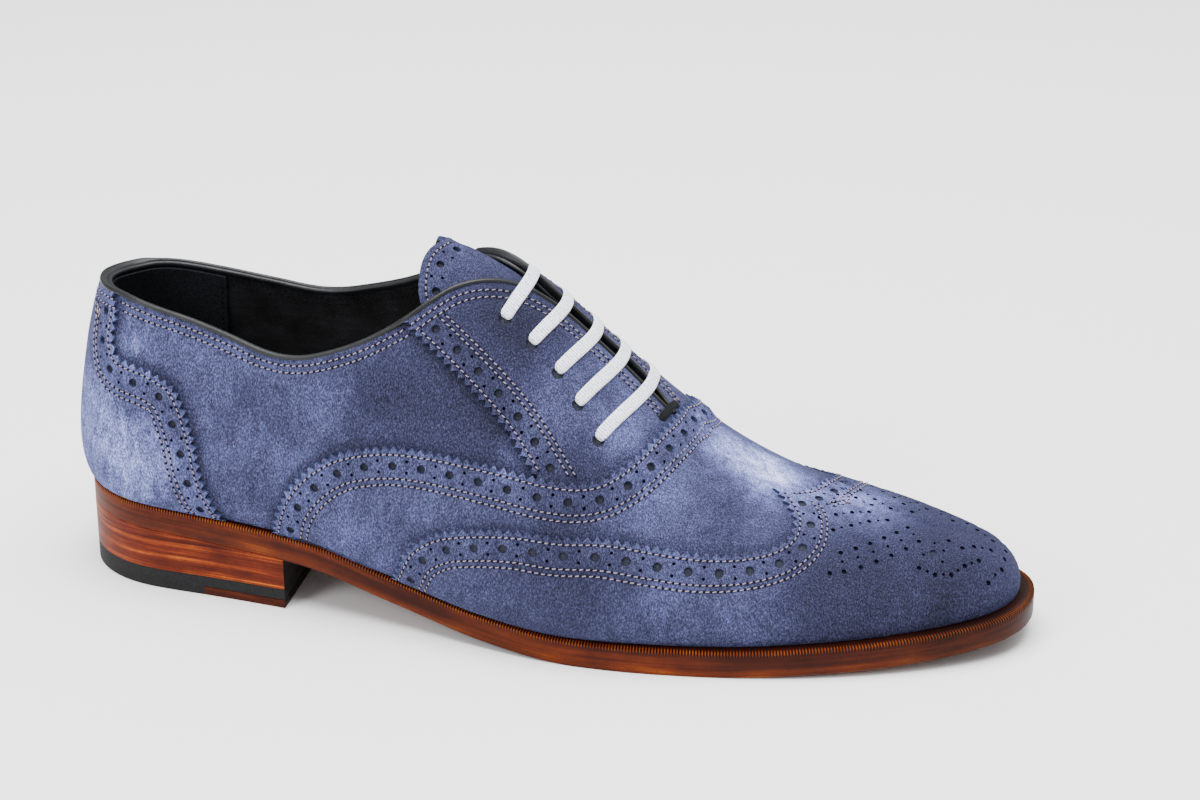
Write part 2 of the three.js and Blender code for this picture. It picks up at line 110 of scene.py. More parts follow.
FUDGE_PITCH = 0.95

# Sections of the last from the heel back to the toe tip. foot and top are shares of the length;
# lateral, medial, lean and swell of the ball width; rise of the instep height; edge of the welt reach.
FOOT_X, FOOT_Y, TOP_X, TOP_Y, RISE, SWELL, ROUNDNESS, EDGE = range(8)
SECTION_ROWS = {
    # foot, lateral, medial, top, lean, rise, swell, round lateral, round medial, edge
    "heel_back": (0.003, 0.0, 0.0, 0.125, 0.0, 0.8, 0.03, 0.36, 0.36, 0.14),
    "heel_turn": (0.02, 0.138, 0.145, 0.125, 0.0, 0.8, 0.032, 0.42, 0.42, 0.17),
    "heel_side": (0.066, 0.238, 0.252, 0.135, 0.0, 0.82, 0.034, 0.5, 0.5, 0.2),
    "heel_front": (0.13, 0.272, 0.292, 0.175, 0.0, 0.86, 0.036, 0.62, 0.62, 0.23),
    "breast": (0.205, 0.3, 0.3, 0.24, 0.0, 0.93, 0.034, 0.74, 0.74, 0.26),
    "waist_back": (0.3, 0.342, 0.285, 0.32, 0.01, 1.0, 0.032, 0.86, 0.84, 0.32),
    "waist": (0.4, 0.395, 0.275, 0.4, 0.02, 1.03, 0.034, 1.0, 1.0, 0.4),
    "waist_front": (0.5, 0.462, 0.325, 0.49, 0.03, 0.925, 0.038, 1.1, 1.1, 0.5),
    "ball_back": (0.59, 0.48, 0.385, 0.575, 0.04, 0.71, 0.036, 1.14, 1.16, 0.68),
    "ball": (0.675, 0.455, 0.435, 0.655, 0.04, 0.495, 0.03, 1.12, 1.16, 0.84),
    "ball_front": (0.755, 0.412, 0.425, 0.73, 0.04, 0.35, 0.022, 1.04, 1.1, 0.92),
    "toe_back": (0.828, 0.35, 0.372, 0.795, 0.03, 0.28, 0.016, 0.96, 1.0, 0.95),
    "toe_side": (0.888, 0.278, 0.29, 0.845, 0.02, 0.24, 0.01, 0.9, 0.92, 0.97),
    "toe_turn": (0.938, 0.195, 0.19, 0.875, 0.0, 0.212, 0.01, 0.84, 0.86, 1.0),
    "toe_round": (0.969, 0.106, 0.098, 0.888, 0.0, 0.197, 0.01, 0.82, 0.82, 1.0),
    "toe_tip": (0.978, 0.0, 0.0, 0.892, 0.0, 0.19, 0.01, 0.82, 0.82, 1.0),
}

# Side view of the sole's underside: share of the length, share of the heel rise, share of the toe spring
SOLE_ROWS = {
    "back": (-0.02, 1.02, 0),
    "seat": (0.13, 0.9, 0),
    "breast": (0.265, 0.745, 0),
    "arch": (0.36, 0.42, 0),
    "waist": (0.46, 0.125, 0),
    "flat_back": (0.56, 0, 0),
    "flat_front": (0.68, 0, 0),
    "tread_end": (0.8, 0, 0.19),
    "toe": (0.9, 0, 0.47),
    "tip": (1.02, 0, 1.06),
}


def mirrored(rows):
    """Pattern places on the inner side of the last itself."""
    return [(turn, round(2 - up, 3)) for turn, up in rows]


# Pattern lines on the last, as (sections from the heel back, way up from welt to ridge). Past the ridge the
# way up runs on from 1 to 2 at the inner welt. The vamp's line goes all the way over, and the cap has a line
# for each side.
RIM = [
    (0, 0.655), (0.9, 0.65), (1.5, 0.642), (2.1, 0.61), (2.9, 0.552), (3.55, 0.492), (4.1, 0.44),
    (4.45, 0.427), (4.78, 0.445), (5.2, 0.497), (5.61, 0.573), (5.88, 0.645), (6.12, 0.72), (6.38, 0.79),
    (6.62, 0.843), (6.88, 0.882), (7.2, 0.905), (7.6, 0.909), (8.0, 0.906), (8.25, 0.898), (8.42, 0.89),
    (8.52, 0.887), (8.6, 0.8895),
]
COUNTER_EDGE = [
    (1.3, 0.66), (1.36, 0.62), (1.62, 0.56), (1.66, 0.475), (1.78, 0.42), (2.0, 0.402), (2.35, 0.388),
    (2.65, 0.366), (2.9, 0.338), (3.06, 0.298), (3.2, 0.245), (3.32, 0.19), (3.4, 0.13), (3.5, 0.07),
    (3.64, 0.0),
]
EYESTAY_EDGE = [
    (5.5, 0.592), (5.74, 0.548), (6.04, 0.509), (6.44, 0.463), (6.72, 0.428), (6.94, 0.389), (7.2, 0.334),
    (7.4, 0.29),
]
VAMP_SIDE = [
    (4.26, 0.0), (4.32, 0.035), (4.41, 0.082), (4.54, 0.13), (4.76, 0.182), (5.07, 0.232), (5.5, 0.271),
    (5.92, 0.293), (6.35, 0.314), (6.8, 0.337), (7.22, 0.362),
]
VAMP_EDGE = VAMP_SIDE + [
    (7.62, 0.4), (7.9, 0.452), (8.16, 0.548), (8.36, 0.66), (8.49, 0.755), (8.58, 0.835), (8.65, 0.93),
    (8.7, 1.0), (8.71, 1.066), (8.69, 1.164), (8.63, 1.274), (8.5, 1.36), (8.3, 1.43), (8.1, 1.485),
    (7.9, 1.535), (7.62, 1.59),
] + mirrored(VAMP_SIDE)[::-1]
CAP_EDGE = [
    (5.62, 0.0), (5.7, 0.04), (5.84, 0.092), (6.1, 0.14), (6.4, 0.174), (6.98, 0.222), (7.45, 0.252),
    (8.0, 0.3), (8.58, 0.337), (9.0, 0.368), (9.4, 0.412), (9.75, 0.467), (10.02, 0.53), (10.16, 0.595),
    (10.2, 0.65), (10.2, 0.705), (10.14, 0.745), (10.06, 0.786), (9.94, 0.835),
]
FAR_CAP_EDGE = mirrored(CAP_EDGE[:11]) + [
    (9.75, 1.535), (10.1, 1.485), (10.36, 1.44), (10.51, 1.38), (10.6, 1.26), (10.61, 1.116),
    (10.57, 1.0), (10.37, 0.93), (10.21, 0.893), (10.06, 0.86), (9.94, 0.835),
]
# The pattern's middle line, which leans to the outer side over the instep and the vamp
MIDDLE_ROWS = [
    (-1.0, 1.0), (5.4, 1.0), (6.1, 0.985), (6.9, 0.944), (7.5, 0.937), (8.1, 0.934), (8.4, 0.91),
    (8.6, 0.8895), (9.2, 0.86), (9.94, 0.835), (10.2, 0.852), (10.57, 0.856), (11.0, 0.856),
    (15.0, 0.856),
]
MIDDLE_FOOT = 0.45
TONGUE_EDGE = [
    (9.3, 0.72), (8.9, 0.68), (8.2, 0.62), (7.4, 0.6), (6.7, 0.585), (6.2, 0.595), (5.86, 0.62),
    (5.76, 0.66), (5.73, 0.73), (5.74, 0.81), (5.8, 0.89), (5.87, 0.95), (5.91, 1.0),
]
# Eyelets, and how many sections further forward the lace crosses the ridge
EYELET_ROWS = {
    "top": (6.69, 0.711, 0.17),
    "second": (6.99, 0.689, 0.26),
    "third": (7.29, 0.66, 0.32),
    "fourth": (7.54, 0.612, 0.4),
    "bottom": (7.8, 0.553, 0.5),
}
EYELET_WIDTH, EYELET_DROP = 3.9, 0.01
SMALL_PIT_SIDES, PIT_CLEAR = 8, 1.5

# Creases that walking has pressed in: both ends as (section, way up), width and height in mm
CREASES = {
    "flex_trough": ((8.25, 0.3), (9.0, 0.74), 5.0, -0.55),
    "flex_ridge": ((8.75, 0.34), (9.5, 0.8), 5.5, 0.45),
    "quarter_trough": ((3.9, 0.16), (5.2, 0.36), 8.0, -0.7),
    "quarter_swell": ((4.4, 0.34), (5.6, 0.5), 9.0, 0.55),
    "instep_trough": ((6.0, 0.34), (7.4, 0.46), 6.0, -0.4),
}

TOE = len(SECTION_ROWS) - 1
ROUND = 2 * TOE
GRAIN_SPACING = 1.7
HIDDEN_SPACING = 5.0
CHART = np.array([20.0, 90.0])


def loop_of_sections():
    """One half section for every place round the last, out along the outer side and back along the inner."""
    rows = list(SECTION_ROWS.values())
    loop = []
    for k in range(ROUND):
        inner = k > TOE
        row = rows[ROUND - k if inner else k]
        foot, lateral, medial, top, lean, rise, swell, lateral_round, medial_round, edge = row
        loop.append([
            foot * SHOE_LENGTH,
            (medial if inner else -lateral) * BALL_WIDTH,
            top * SHOE_LENGTH,
            lean * BALL_WIDTH,
            rise * INSTEP_HEIGHT,
            swell * BALL_WIDTH,
            medial_round if inner else lateral_round,
            edge * WELT_REACH,
        ])
    return np.array(loop)


def spline_controls(values):
    """Control values of a closed cubic curve that runs through the given ones."""
    controls = values.copy()
    for _ in range(60):
        controls = (6 * values - np.roll(controls, 1, 0) - np.roll(controls, -1, 0)) / 4
    return controls


CONTROLS = spline_controls(loop_of_sections())


def section(turn):
    """The half section at a place round the last."""
    turn = np.asarray(turn, float)
    start = np.floor(turn).astype(int)
    f = (turn - start)[..., None]
    at = [CONTROLS[np.mod(start + k, ROUND)] for k in (-1, 0, 1, 2)]
    blend = [(1 - f) ** 3, 3 * f ** 3 - 6 * f * f + 4, -3 * f ** 3 + 3 * f * f + 3 * f + 1, f ** 3]
    return sum(b * a for a, b in zip(at, blend)) / 6


SOLE_X = np.array([row[0] for row in SOLE_ROWS.values()]) * SHOE_LENGTH
SOLE_Z = np.array([row[1] * HEEL_RISE + row[2] * TOE_SPRING for row in SOLE_ROWS.values()])


def sole_slopes():
    """Slopes of the sole's underside at its rows, none of them past a level stretch."""
    steps = np.diff(SOLE_Z) / np.diff(SOLE_X)
    slopes_at = np.zeros(len(SOLE_X))
    for i in range(1, len(steps)):
        if steps[i - 1] * steps[i] > 0:
            slopes_at[i] = 2 * steps[i - 1] * steps[i] / (steps[i - 1] + steps[i])
    slopes_at[0], slopes_at[-1] = steps[0], steps[-1]
    return slopes_at


SOLE_SLOPES = sole_slopes()


def underside(x):
    """Height of the sole's underside, a smooth curve that stays level between two equal rows."""
    x = np.asarray(x, float)
    i = np.clip(np.searchsorted(SOLE_X, x, side="right") - 1, 0, len(SOLE_X) - 2)
    span = SOLE_X[i + 1] - SOLE_X[i]
    t = (x - SOLE_X[i]) / span
    bend = span * (t * (1 - t) ** 2 * SOLE_SLOPES[i] - t * t * (1 - t) * SOLE_SLOPES[i + 1])
    return SOLE_Z[i] + (SOLE_Z[i + 1] - SOLE_Z[i]) * t * t * (3 - 2 * t) + bend


def welt_top(x):
    """Height of the welt's top face."""
    return underside(x) + SOLE_EDGE


def to_outer_side(turn, up):
    """A place past the ridge is the same place counted from the other side."""
    turn, up = np.broadcast_arrays(np.asarray(turn, float), np.asarray(up, float))
    over = up > 1
    return np.where(over, ROUND - turn, turn), np.where(over, 2 - up, up), over


def last_point(turn, up):
    """A place of the chart as a point on the last."""
    turn, up, _ = to_outer_side(turn, up)
    cut = section(turn)
    angle = up * math.pi / 2
    base = welt_top(cut[..., FOOT_X]) + CLEARANCE
    crown = welt_top(cut[..., TOP_X]) + cut[..., RISE]
    z = base + (crown - base) * np.sin(angle)
    to_foot = cut[..., [FOOT_X, FOOT_Y]] - cut[..., [TOP_X, TOP_Y]]
    share = np.maximum(z - base, 0) / SWELL_HEIGHT
    swell = cut[..., SWELL] * share * np.exp(1 - share) * np.cos(angle)
    length = np.linalg.norm(to_foot, axis=-1)
    reach = length * np.maximum(np.cos(angle), 0) ** cut[..., ROUNDNESS] + swell
    flat = cut[..., [TOP_X, TOP_Y]] + to_foot * (reach / length)[..., None]
    return np.concatenate([flat, z[..., None]], -1)


TURN_STEP, UP_STEP = 0.05, 0.02
RIDGE_END_SHARE = 0.9
RIDGE_CLEARANCE, WIDE_CLEARANCE = 0.035, 0.1


def slopes(turn, up):
    """How the surface runs for one section further on, and for the whole way up."""
    turn, up, over = to_outer_side(turn, up)
    low, high = np.maximum(up - UP_STEP, 0), up + UP_STEP
    along = (last_point(turn + TURN_STEP, up) - last_point(turn - TURN_STEP, up)) / (2 * TURN_STEP)
    upward = (last_point(turn, high) - last_point(turn, low)) / (high - low)[..., None]
    side = np.where(turn > TOE, -1.0, 1.0)
    clear = np.minimum(np.where(turn > TOE, ROUND - turn, turn), TOE * RIDGE_END_SHARE)
    ridge_along = last_point(clear + TURN_STEP, 1.0) - last_point(clear - TURN_STEP, 1.0)
    ridge_up = last_point(clear, 1 + UP_STEP) - last_point(clear, 1 - UP_STEP)
    near = (up > 1 - UP_STEP / 2)[..., None]
    along = np.where(near, ridge_along * (side / (2 * TURN_STEP))[..., None], along)
    upward = np.where(near, ridge_up * (side / (2 * UP_STEP))[..., None], upward)
    sign = np.where(over, -1.0, 1.0)[..., None]
    return along * sign, upward * sign


def unit(vectors):
    return vectors / np.maximum(np.linalg.norm(vectors, axis=-1, keepdims=True), 1e-12)


def outward(turn, up):
    """Layers lie on top of one another, but side by side where they meet the welt."""
    normal = unit(np.cross(*slopes(turn, up)))
    side_turn, side_up, _ = to_outer_side(turn, up)
    rise = last_point(side_turn, side_up)[..., 2] - last_point(side_turn, np.zeros_like(side_up))[..., 2]
    normal[..., 2] *= np.clip(rise / FEATHER_HEIGHT, 0, 1)
    return unit(normal)


def creased(points):
    """How far the leather stands out at each point of the last, over the creases that wear has pressed in."""
    height = np.zeros(points.shape[:-1])
    for line, width, depth in CREASE_LINES:
        gap = np.linalg.norm(points[..., None, :] - line, axis=-1)
        near = gap.argmin(-1)
        fade = np.sin(math.pi * (near + 0.5) / len(line)) ** 0.7
        height += depth * fade * np.exp(-(gap.min(-1) / width) ** 2)
    return height


def place(turn, up, layer):
    """A point on a layer of the upper."""
    layer = np.asarray(layer, float)
    at = last_point(turn, up)
    return at + outward(turn, up) * (layer + creased(at))[..., None]


def steps_on_last(turn, up, sideways, forward, heading):
    """Moves places over the surface by real distances, beside and along a heading given in the surface."""
    along, upward = slopes(turn, up)
    normal = unit(np.cross(along, upward))
    ahead = unit(heading)
    move = np.cross(normal, ahead) * np.asarray(sideways)[..., None] + ahead * np.asarray(forward)[..., None]
    aa, ab, bb = (along * along).sum(-1), (along * upward).sum(-1), (upward * upward).sum(-1)
    ma, mb = (move * along).sum(-1), (move * upward).sum(-1)
    scale = 1 / (aa * bb - ab * ab)
    return turn + scale * (ma * bb - mb * ab), up + scale * (mb * aa - ma * ab)


def headings(line):
    """Which way a line runs at each of its places."""
    line = np.asarray(line, float)
    ahead = np.vstack([line[1:], line[-1:]]) - np.vstack([line[:1], line[:-1]])
    along, upward = slopes(*line.T)
    return unit(along * ahead[:, :1] + upward * ahead[:, 1:])


def moved_line(line, distance):
    """A line moved sideways over the last by a real distance, to its left as it runs."""
    line = np.asarray(line, float)
    none = np.zeros(len(line))
    return np.column_stack(steps_on_last(*line.T, none + distance, none, headings(line)))


def smooth_line(points, steps=12):
    """A curve through given points, the same on both ends as a Catmull-Rom spline that stops there."""
    p = np.asarray(points, float)
    p = np.vstack([p[:1], p, p[-1:]])
    t = np.linspace(0, 1, steps, endpoint=False)[:, None]
    parts = []
    for a, b, c, d in zip(p, p[1:], p[2:], p[3:]):
        leaving, arriving = (c - a) / 2, (d - b) / 2
        cubic = 2 * b - 2 * c + leaving + arriving
        square = -3 * b + 3 * c - 2 * leaving - arriving
        parts.append(cubic * t ** 3 + square * t ** 2 + leaving * t + b)
    return np.vstack(parts + [p[-1:]])


def run_lengths(points):
    """How far along a run of points each of them lies."""
    return np.concatenate([[0], np.cumsum(np.linalg.norm(np.diff(points, axis=0), axis=1))])


def lengths(line):
    """How far along a pattern line each of its places lies on the last."""
    return run_lengths(last_point(*line.T))


def resample(line, spacing, count=None, inset=0.0):
    """Even places along a line, a real distance apart."""
    line = np.asarray(line, float)
    far = lengths(line)
    count = count or max(int(round((far[-1] - 2 * inset) / spacing)), 1)
    at = np.linspace(inset, far[-1] - inset, count + 1)
    return np.column_stack([np.interp(at, far, line[:, 0]), np.interp(at, far, line[:, 1])])


def kept_run(line, low=0.0, high=1.0):
    """The longest run of a line with its way up between two limits, ended exactly on them."""
    line = np.asarray(line, float)
    margin = np.minimum(line[:, 1] - low, high - line[:, 1]) + 1e-9
    best, start = (0, 0), None
    for i, good in enumerate(list(margin >= 0) + [False]):
        if good and start is None:
            start = i
        if not good and start is not None:
            if i - start > best[1] - best[0]:
                best = (start, i)
            start = None
    run = line[best[0]:best[1]]
    ends = []
    for here, beyond in ((best[0], best[0] - 1), (best[1] - 1, best[1])):
        if 0 <= beyond < len(line):
            t = margin[here] / (margin[here] - margin[beyond])
            ends.append(line[here:here + 1] + t * (line[beyond] - line[here]))
        else:
            ends.append(run[:0])
    return np.vstack([ends[0], run, ends[1]])


def middle(turn):
    """How far up the pattern's middle line lies."""
    return np.interp(turn, *MIDDLE_LINE.T)


def inner_up(turn, up):
    """The way up of a pattern place's twin on the inner side."""
    centre = middle(turn)
    share = np.clip((up - MIDDLE_FOOT) / (centre - MIDDLE_FOOT), 0, 1)
    return up + 2 * (1 - centre) * share * share * (3 - 2 * share)


def far_side(line):
    """A pattern line's twin on the inner side in the same order, in the chart that runs on past the ridge."""
    line = np.asarray(line, float)
    return np.column_stack([line[:, 0], 2 - inner_up(*line.T)])


def plain_twin(line):
    """The same line on the inner side of the last itself, running on from the ridge."""
    return np.column_stack([line[:, 0], 2 - line[:, 1]])[::-1]


def round_heel(line):
    """The twin of a line that starts at the back, running up to it."""
    line = np.asarray(line, float)
    return np.column_stack([-line[:, 0], inner_up(*line.T)])[::-1]


def clear_of_ridge(line, clearance=RIDGE_CLEARANCE):
    """A line that runs straight over the ridge, where the sections' own slopes turn round."""
    return line[np.abs(line[:, 1] - 1) > clearance]


def beside(line, distance, side):
    """A line at a real distance from a pattern line, in from the edge if negative, cut at the middle."""
    moved = clear_of_ridge(moved_line(line, distance * side))
    centre = middle(moved[:, 0])
    return kept_run(moved, 0.0, centre) if side > 0 else kept_run(moved, centre, 2.0)


def crossing(a, b):
    """Where line a first meets line b: (step on a, step on b, place)."""
    for i in range(len(a) - 1):
        d = a[i + 1] - a[i]
        e = b[1:] - b[:-1]
        w = b[:-1] - a[i]
        cross = d[0] * e[:, 1] - d[1] * e[:, 0]
        cross = np.where(np.abs(cross) < 1e-12, 1e-12, cross)
        t = (w[:, 0] * e[:, 1] - w[:, 1] * e[:, 0]) / cross
        s = (w[:, 0] * d[1] - w[:, 1] * d[0]) / cross
        hit = np.nonzero((t >= 0) & (t <= 1) & (s >= 0) & (s <= 1))[0]
        if len(hit):
            return i, int(hit[0]), a[i] + t[hit[0]] * d
    raise ValueError("the lines don't meet")


def after(line, step, point):
    return np.vstack([point[None], line[step + 1:]])


def before(line, step, point):
    return np.vstack([line[:step + 1], point[None]])


def pinked(line, side=1):
    """Saw teeth along a pattern line, with their tips on the line and their roots in its panel."""
    count = 2 * max(int(round(lengths(line)[-1] / TOOTH_PITCH)), 1)
    even = resample(line, 0, count)
    roots = moved_line(even, -TOOTH_DEPTH * side)
    even[1::2] = roots[1::2]
    return even


def inside(points, outline):
    """Which points lie in a closed outline, by counting the crossings of a level line."""
    x, y = points.T
    odd = np.zeros(len(points), bool)
    for (x0, y0), (x1, y1) in zip(outline, np.roll(outline, -1, 0)):
        if y0 == y1:
            continue
        band = (y0 > y) != (y1 > y)
        odd ^= band & (x < (x1 - x0) * (y - y0) / (y1 - y0) + x0)
    return odd


def grid_places(spacing):
    """Places spread evenly over one side of the last, fewer where the sections close up at the toe."""
    turns = resample(np.column_stack([np.linspace(0, TOE, 600), np.full(600, 0.15)]), spacing * 0.87)[:, 0]
    found = []
    share = np.linspace(0, 1, 60)
    for i, turn in enumerate(turns[1:-1], start=1):
        column = last_point(np.full(60, turn), share)
        far = run_lengths(column)
        count = max(int(far[-1] / spacing), 2)
        ups = np.interp((np.arange(count) + (1.0 if i % 2 else 0.5)) / count * far[-1], far, share)
        turned = np.full(count, turn)
        gap = np.linalg.norm(last_point(turned + 0.01, ups) - last_point(turned - 0.01, ups), axis=1) / 0.02
        gap *= turns[2] - turns[1] if i < 2 else turns[i] - turns[i - 1]
        skip = 2 ** np.clip(np.floor(np.log2(spacing / np.maximum(gap, 1e-3) * 0.9)), 0, 6)
        keep = (i % skip == 0) & (ups < 1)
        found.append(np.column_stack([turned[keep], ups[keep]]))
    ridge = resample(np.column_stack([np.linspace(0, TOE, 600), np.full(600, 1.0)]), spacing)[1:-1]
    return np.vstack(found), ridge


GRIDS = {spacing: grid_places(spacing) for spacing in (GRAIN_SPACING, HIDDEN_SPACING)}


def chart_grid(spacing, chart):
    """Even places over the last, from welt to welt over the ridge or round the heel."""
    side, ridge = GRIDS[spacing]
    turn, up = side.T
    if chart == "ridge":
        return np.vstack([side, ridge, np.column_stack([turn, 2 - up])])
    return np.vstack([side, np.column_stack([-turn, up])])


def gaps(points, places):
    """How far each point lies from the nearest of the places."""
    tree = kdtree.KDTree(len(places))
    for i, at in enumerate(places):
        tree.insert(at, i)
    tree.balance()
    return np.array([tree.find(point)[2] for point in points])


def ring_on_last(turn, up, width, sides):
    """A circle of a real width on the surface."""
    angle = np.linspace(0, 2 * math.pi, sides, endpoint=False)
    turns, ups = np.full(sides, float(turn)), np.full(sides, float(up))
    along, _ = slopes(turns, ups)
    return np.column_stack(
        steps_on_last(turns, ups, np.sin(angle) * width / 2, np.cos(angle) * width / 2, along)
    )


def triangulated(places, loops, extra):
    """Triangles between closed loops of places and loose places, in the chart's own plane."""
    points = (np.vstack([places, extra]) if len(extra) else places) * CHART
    edges = []
    start = 0
    for count in loops:
        edges += [(start + i, start + (i + 1) % count) for i in range(count)]
        start += count
    made = delaunay_2d_cdt([Vector(p) for p in points], edges, [], 0, 1e-6)
    kept, new = [], []
    for source, at in zip(made[3], made[0]):
        kept.append(source[0] if source else len(points) + len(new))
        if not source:
            new.append(at[:])
    if new:
        points = np.vstack([points, new])
    return points / CHART, np.array([[kept[i] for i in face] for face in made[2]])


def anticlockwise(outline):
    x, y = outline.T
    area = (x * np.roll(y, -1) - y * np.roll(x, -1)).sum()
    return outline if area > 0 else outline[::-1]


def no_lift(turn, up):
    """A piece that lies on the last alone."""
    return np.zeros(len(turn))


def fit_panel(outline, chart, pits=(), rows=(), outer=OVERLAY_OUT, inner=OVERLAY_IN, spacing=GRAIN_SPACING,
              sealed=(), hidden=None, floor=None, lift=no_lift, under_kind=0):
    """A closed piece of leather laid on the last.

    outline is its edge in the chart. pits are (turn, up, width, sides) and are punched down to its under
    side. rows are places where a thread pulls the surface down. An edge on a sealed section is left open, to
    be joined to its twin on the other side. hidden tells which places no one sees, and they get fewer points.
    floor is the layer at the bottom of the pits, and lift tells where the piece lies over another.
    """
    outline = anticlockwise(np.asarray(outline, float))
    rings = [ring_on_last(*pit) for pit in pits]
    loops = [len(outline)] + [len(ring) for ring in rings]
    places = np.vstack([outline] + rings)
    middles = np.array([pit[:2] for pit in pits], float).reshape(-1, 2)
    middles = last_point(*middles.T) if len(middles) else np.zeros((0, 3))
    rows = seam_places(np.asarray(rows, float).reshape(-1, 2), outline, middles)
    taken = np.vstack([last_point(*np.vstack([places, rows]).T), middles])
    grid = surface_places(outline, chart, spacing, hidden)
    grid = grid[gaps(last_point(*grid.T), taken) >= 0.62 * spacing]
    points, faces = triangulated(places, loops, np.vstack([rows, grid]))
    owner = np.full(len(points), -1)
    owner[:sum(loops)] = np.repeat(np.arange(len(loops)), loops)
    first = owner[faces][:, 0]
    same = (owner[faces] == first[:, None]).all(1)
    floor_faces = faces[same & (first > 0)]
    outside = same & (first == 0)
    outside[outside] = ~inside(points[faces].mean(1)[outside] * CHART, outline * CHART)
    skin = faces[~outside & ~(same & (first > 0))]

    sealed_edge = np.zeros(len(points), bool)
    for turn in sealed:
        sealed_edge[:len(outline)] |= np.abs(outline[:, 0] - turn) < 1e-9
    depth = np.zeros(len(points))
    depth[owner == 0] = EDGE_DENT
    depth[owner > 0] = PIT_DENT
    depth[sum(loops):sum(loops) + len(rows)] = SEAM_DENT
    depth[sealed_edge] = 0.0
    top = place(*points.T, outer - depth + lift(*points.T))
    pit_places = places[len(outline):].T
    floor = inner + PIT_FLOOR if floor is None else floor
    pit_floor = place(*pit_places, floor + lift(*pit_places))
    under_points, under_faces = under_side(outline, chart)
    under = place(*under_points.T, inner + lift(*under_points.T))

    to_floor = len(top) - len(outline)
    to_under = len(top) + len(pit_floor)
    polygons = [tuple(face) for face in skin]
    kinds = [0] * len(polygons)
    # Pit floors, and below them the walls of the pits and of the outline, take the darker finishes: painted
    # shade
    for face in floor_faces:
        polygons.append(tuple(int(i) + to_floor for i in face))
        kinds.append(3 if loops[owner[face[0]]] <= SMALL_PIT_SIDES else 2)
    start = len(outline)
    for count in loops[1:]:
        for i in range(count):
            a, b = start + i, start + (i + 1) % count
            polygons.append((a, b, b + to_floor, a + to_floor))
            kinds.append(3 if count <= SMALL_PIT_SIDES else 1)
        start += count
    for i in range(len(outline)):
        j = (i + 1) % len(outline)
        if not (sealed_edge[i] and sealed_edge[j]):
            polygons.append((j, i, i + to_under, j + to_under))
            kinds.append(1)
    for face in under_faces:
        polygons.append(tuple(int(i) + to_under for i in face[::-1]))
        kinds.append(under_kind)
    return np.vstack([top, pit_floor, under]), polygons, kinds


def seam_places(rows, outline, middles):
    """The places of a panel's seams, but not where a hole is punched."""
    rows = rows[inside(rows * CHART, outline * CHART)] if len(rows) else rows
    if len(rows) and len(middles):
        rows = rows[gaps(last_point(*rows.T), middles) >= PIT_CLEAR]
    return rows


def surface_places(outline, chart, spacing, hidden):
    """Places for a panel's visible surface, wider apart where it is hidden."""
    grids = [chart_grid(spacing, chart)]
    if hidden is not None:
        coarse = chart_grid(HIDDEN_SPACING, chart)
        grids = [grids[0][~hidden(grids[0])], coarse[hidden(coarse)]]
    grid = np.vstack(grids)
    return grid[inside(grid * CHART, outline * CHART)]


def under_side(outline, chart):
    """Triangles for a panel's under side, with fewer points than its face."""
    grid = surface_places(outline, chart, HIDDEN_SPACING, None)
    grid = grid[gaps(last_point(*grid.T), last_point(*outline.T)) >= 0.5 * HIDDEN_SPACING]
    points, faces = triangulated(outline, [len(outline)], grid)
    bad = (faces < len(outline)).all(1)
    bad[bad] = ~inside(points[faces].mean(1)[bad] * CHART, outline * CHART)
    return points, faces[~bad]


# Painted shade on the suede beside the edge of a panel sewn on over it, and painted highlight along a panel's
# own pinked edge
HEM_SHADE, HEM_WIDTH = -0.5, 2.3
EDGE_LIGHT, EDGE_WIDTH = 0.35, 2.6
# Where the nap lies light or dark, and where light and shade are painted in: partly the nap lying over,
# partly painted highlight on the vamp's crest and the cap's top and painted shade on the toe, the low cap and
# under the facing. Section, way up, radius in mm, amount
NAP_AND_PAINTED_LIGHT_PATCHES = {
    "counter_low": (1.9, 0.1, 22, 0.78),
    "counter_back": (1.3, 0.22, 15, 0.4),
    "collar_corner": (2.1, 0.46, 9, 0.35),
    "quarter_middle": (4.5, 0.33, 17, 0.1),
    "vamp_middle_dark": (7.6, 0.45, 10, -0.35),
    "quarter_dark": (5.7, 0.42, 18, -0.7),
    # Painted shade under the eyestay facing
    "under_facing_dark": (6.5, 0.42, 12, -0.5),
    "facing_top_dark": (6.8, 0.7, 15, -0.95),
    "waist_low": (5.05, 0.06, 9, 0.25),
    "waist_middle": (5.7, 0.17, 11, 0.1),
    "vamp_by_facing": (8.5, 0.5, 12, 0.35),
    "facing_foot": (8.05, 0.6, 8, 0.4),
    # Partly painted highlight on the crest
    "vamp_crest": (9.85, 0.93, 12, 1.05),
    "vamp_ridge": (9.2, 0.92, 12, 0.4),
    "vamp_side_dark": (8.3, 0.38, 16, -0.1),
    # Partly painted highlight on the cap's top
    "cap_top": (11.5, 0.95, 15, 0.5),
    "cap_side": (9.6, 0.24, 14, 0.3),
    # Partly painted shade on the cap's low side and the toe, where they turn under
    "cap_low_dark": (10.9, 0.2, 26, -0.7),
    "toe_dark": (12.8, 0.42, 25, -0.6),
    "wing_dark": (7.5, 0.1, 24, -0.4),
}


def nap_and_painted_light(points):
    """How much lighter or darker each point is than the nap as it was buffed: partly nap that lies over,
    partly painted light and shade.
    """
    amount = np.zeros(len(points))
    for turn, up, radius, strength in NAP_AND_PAINTED_LIGHT_PATCHES.values():
        for side, share in ((turn, 1.0), (ROUND - turn, 0.7)):
            far = np.linalg.norm(points - last_point(side, up), axis=1)
            amount += strength * share * np.exp(-(far / radius) ** 2)
    return amount


def near_lines(points, lines, width):
    """1 on any of the lines, and less the further a point lies from them."""
    line = np.vstack([resample(part, 1.0) for part in lines])
    return np.exp(-(gaps(points, last_point(*line.T)) / width) ** 2)


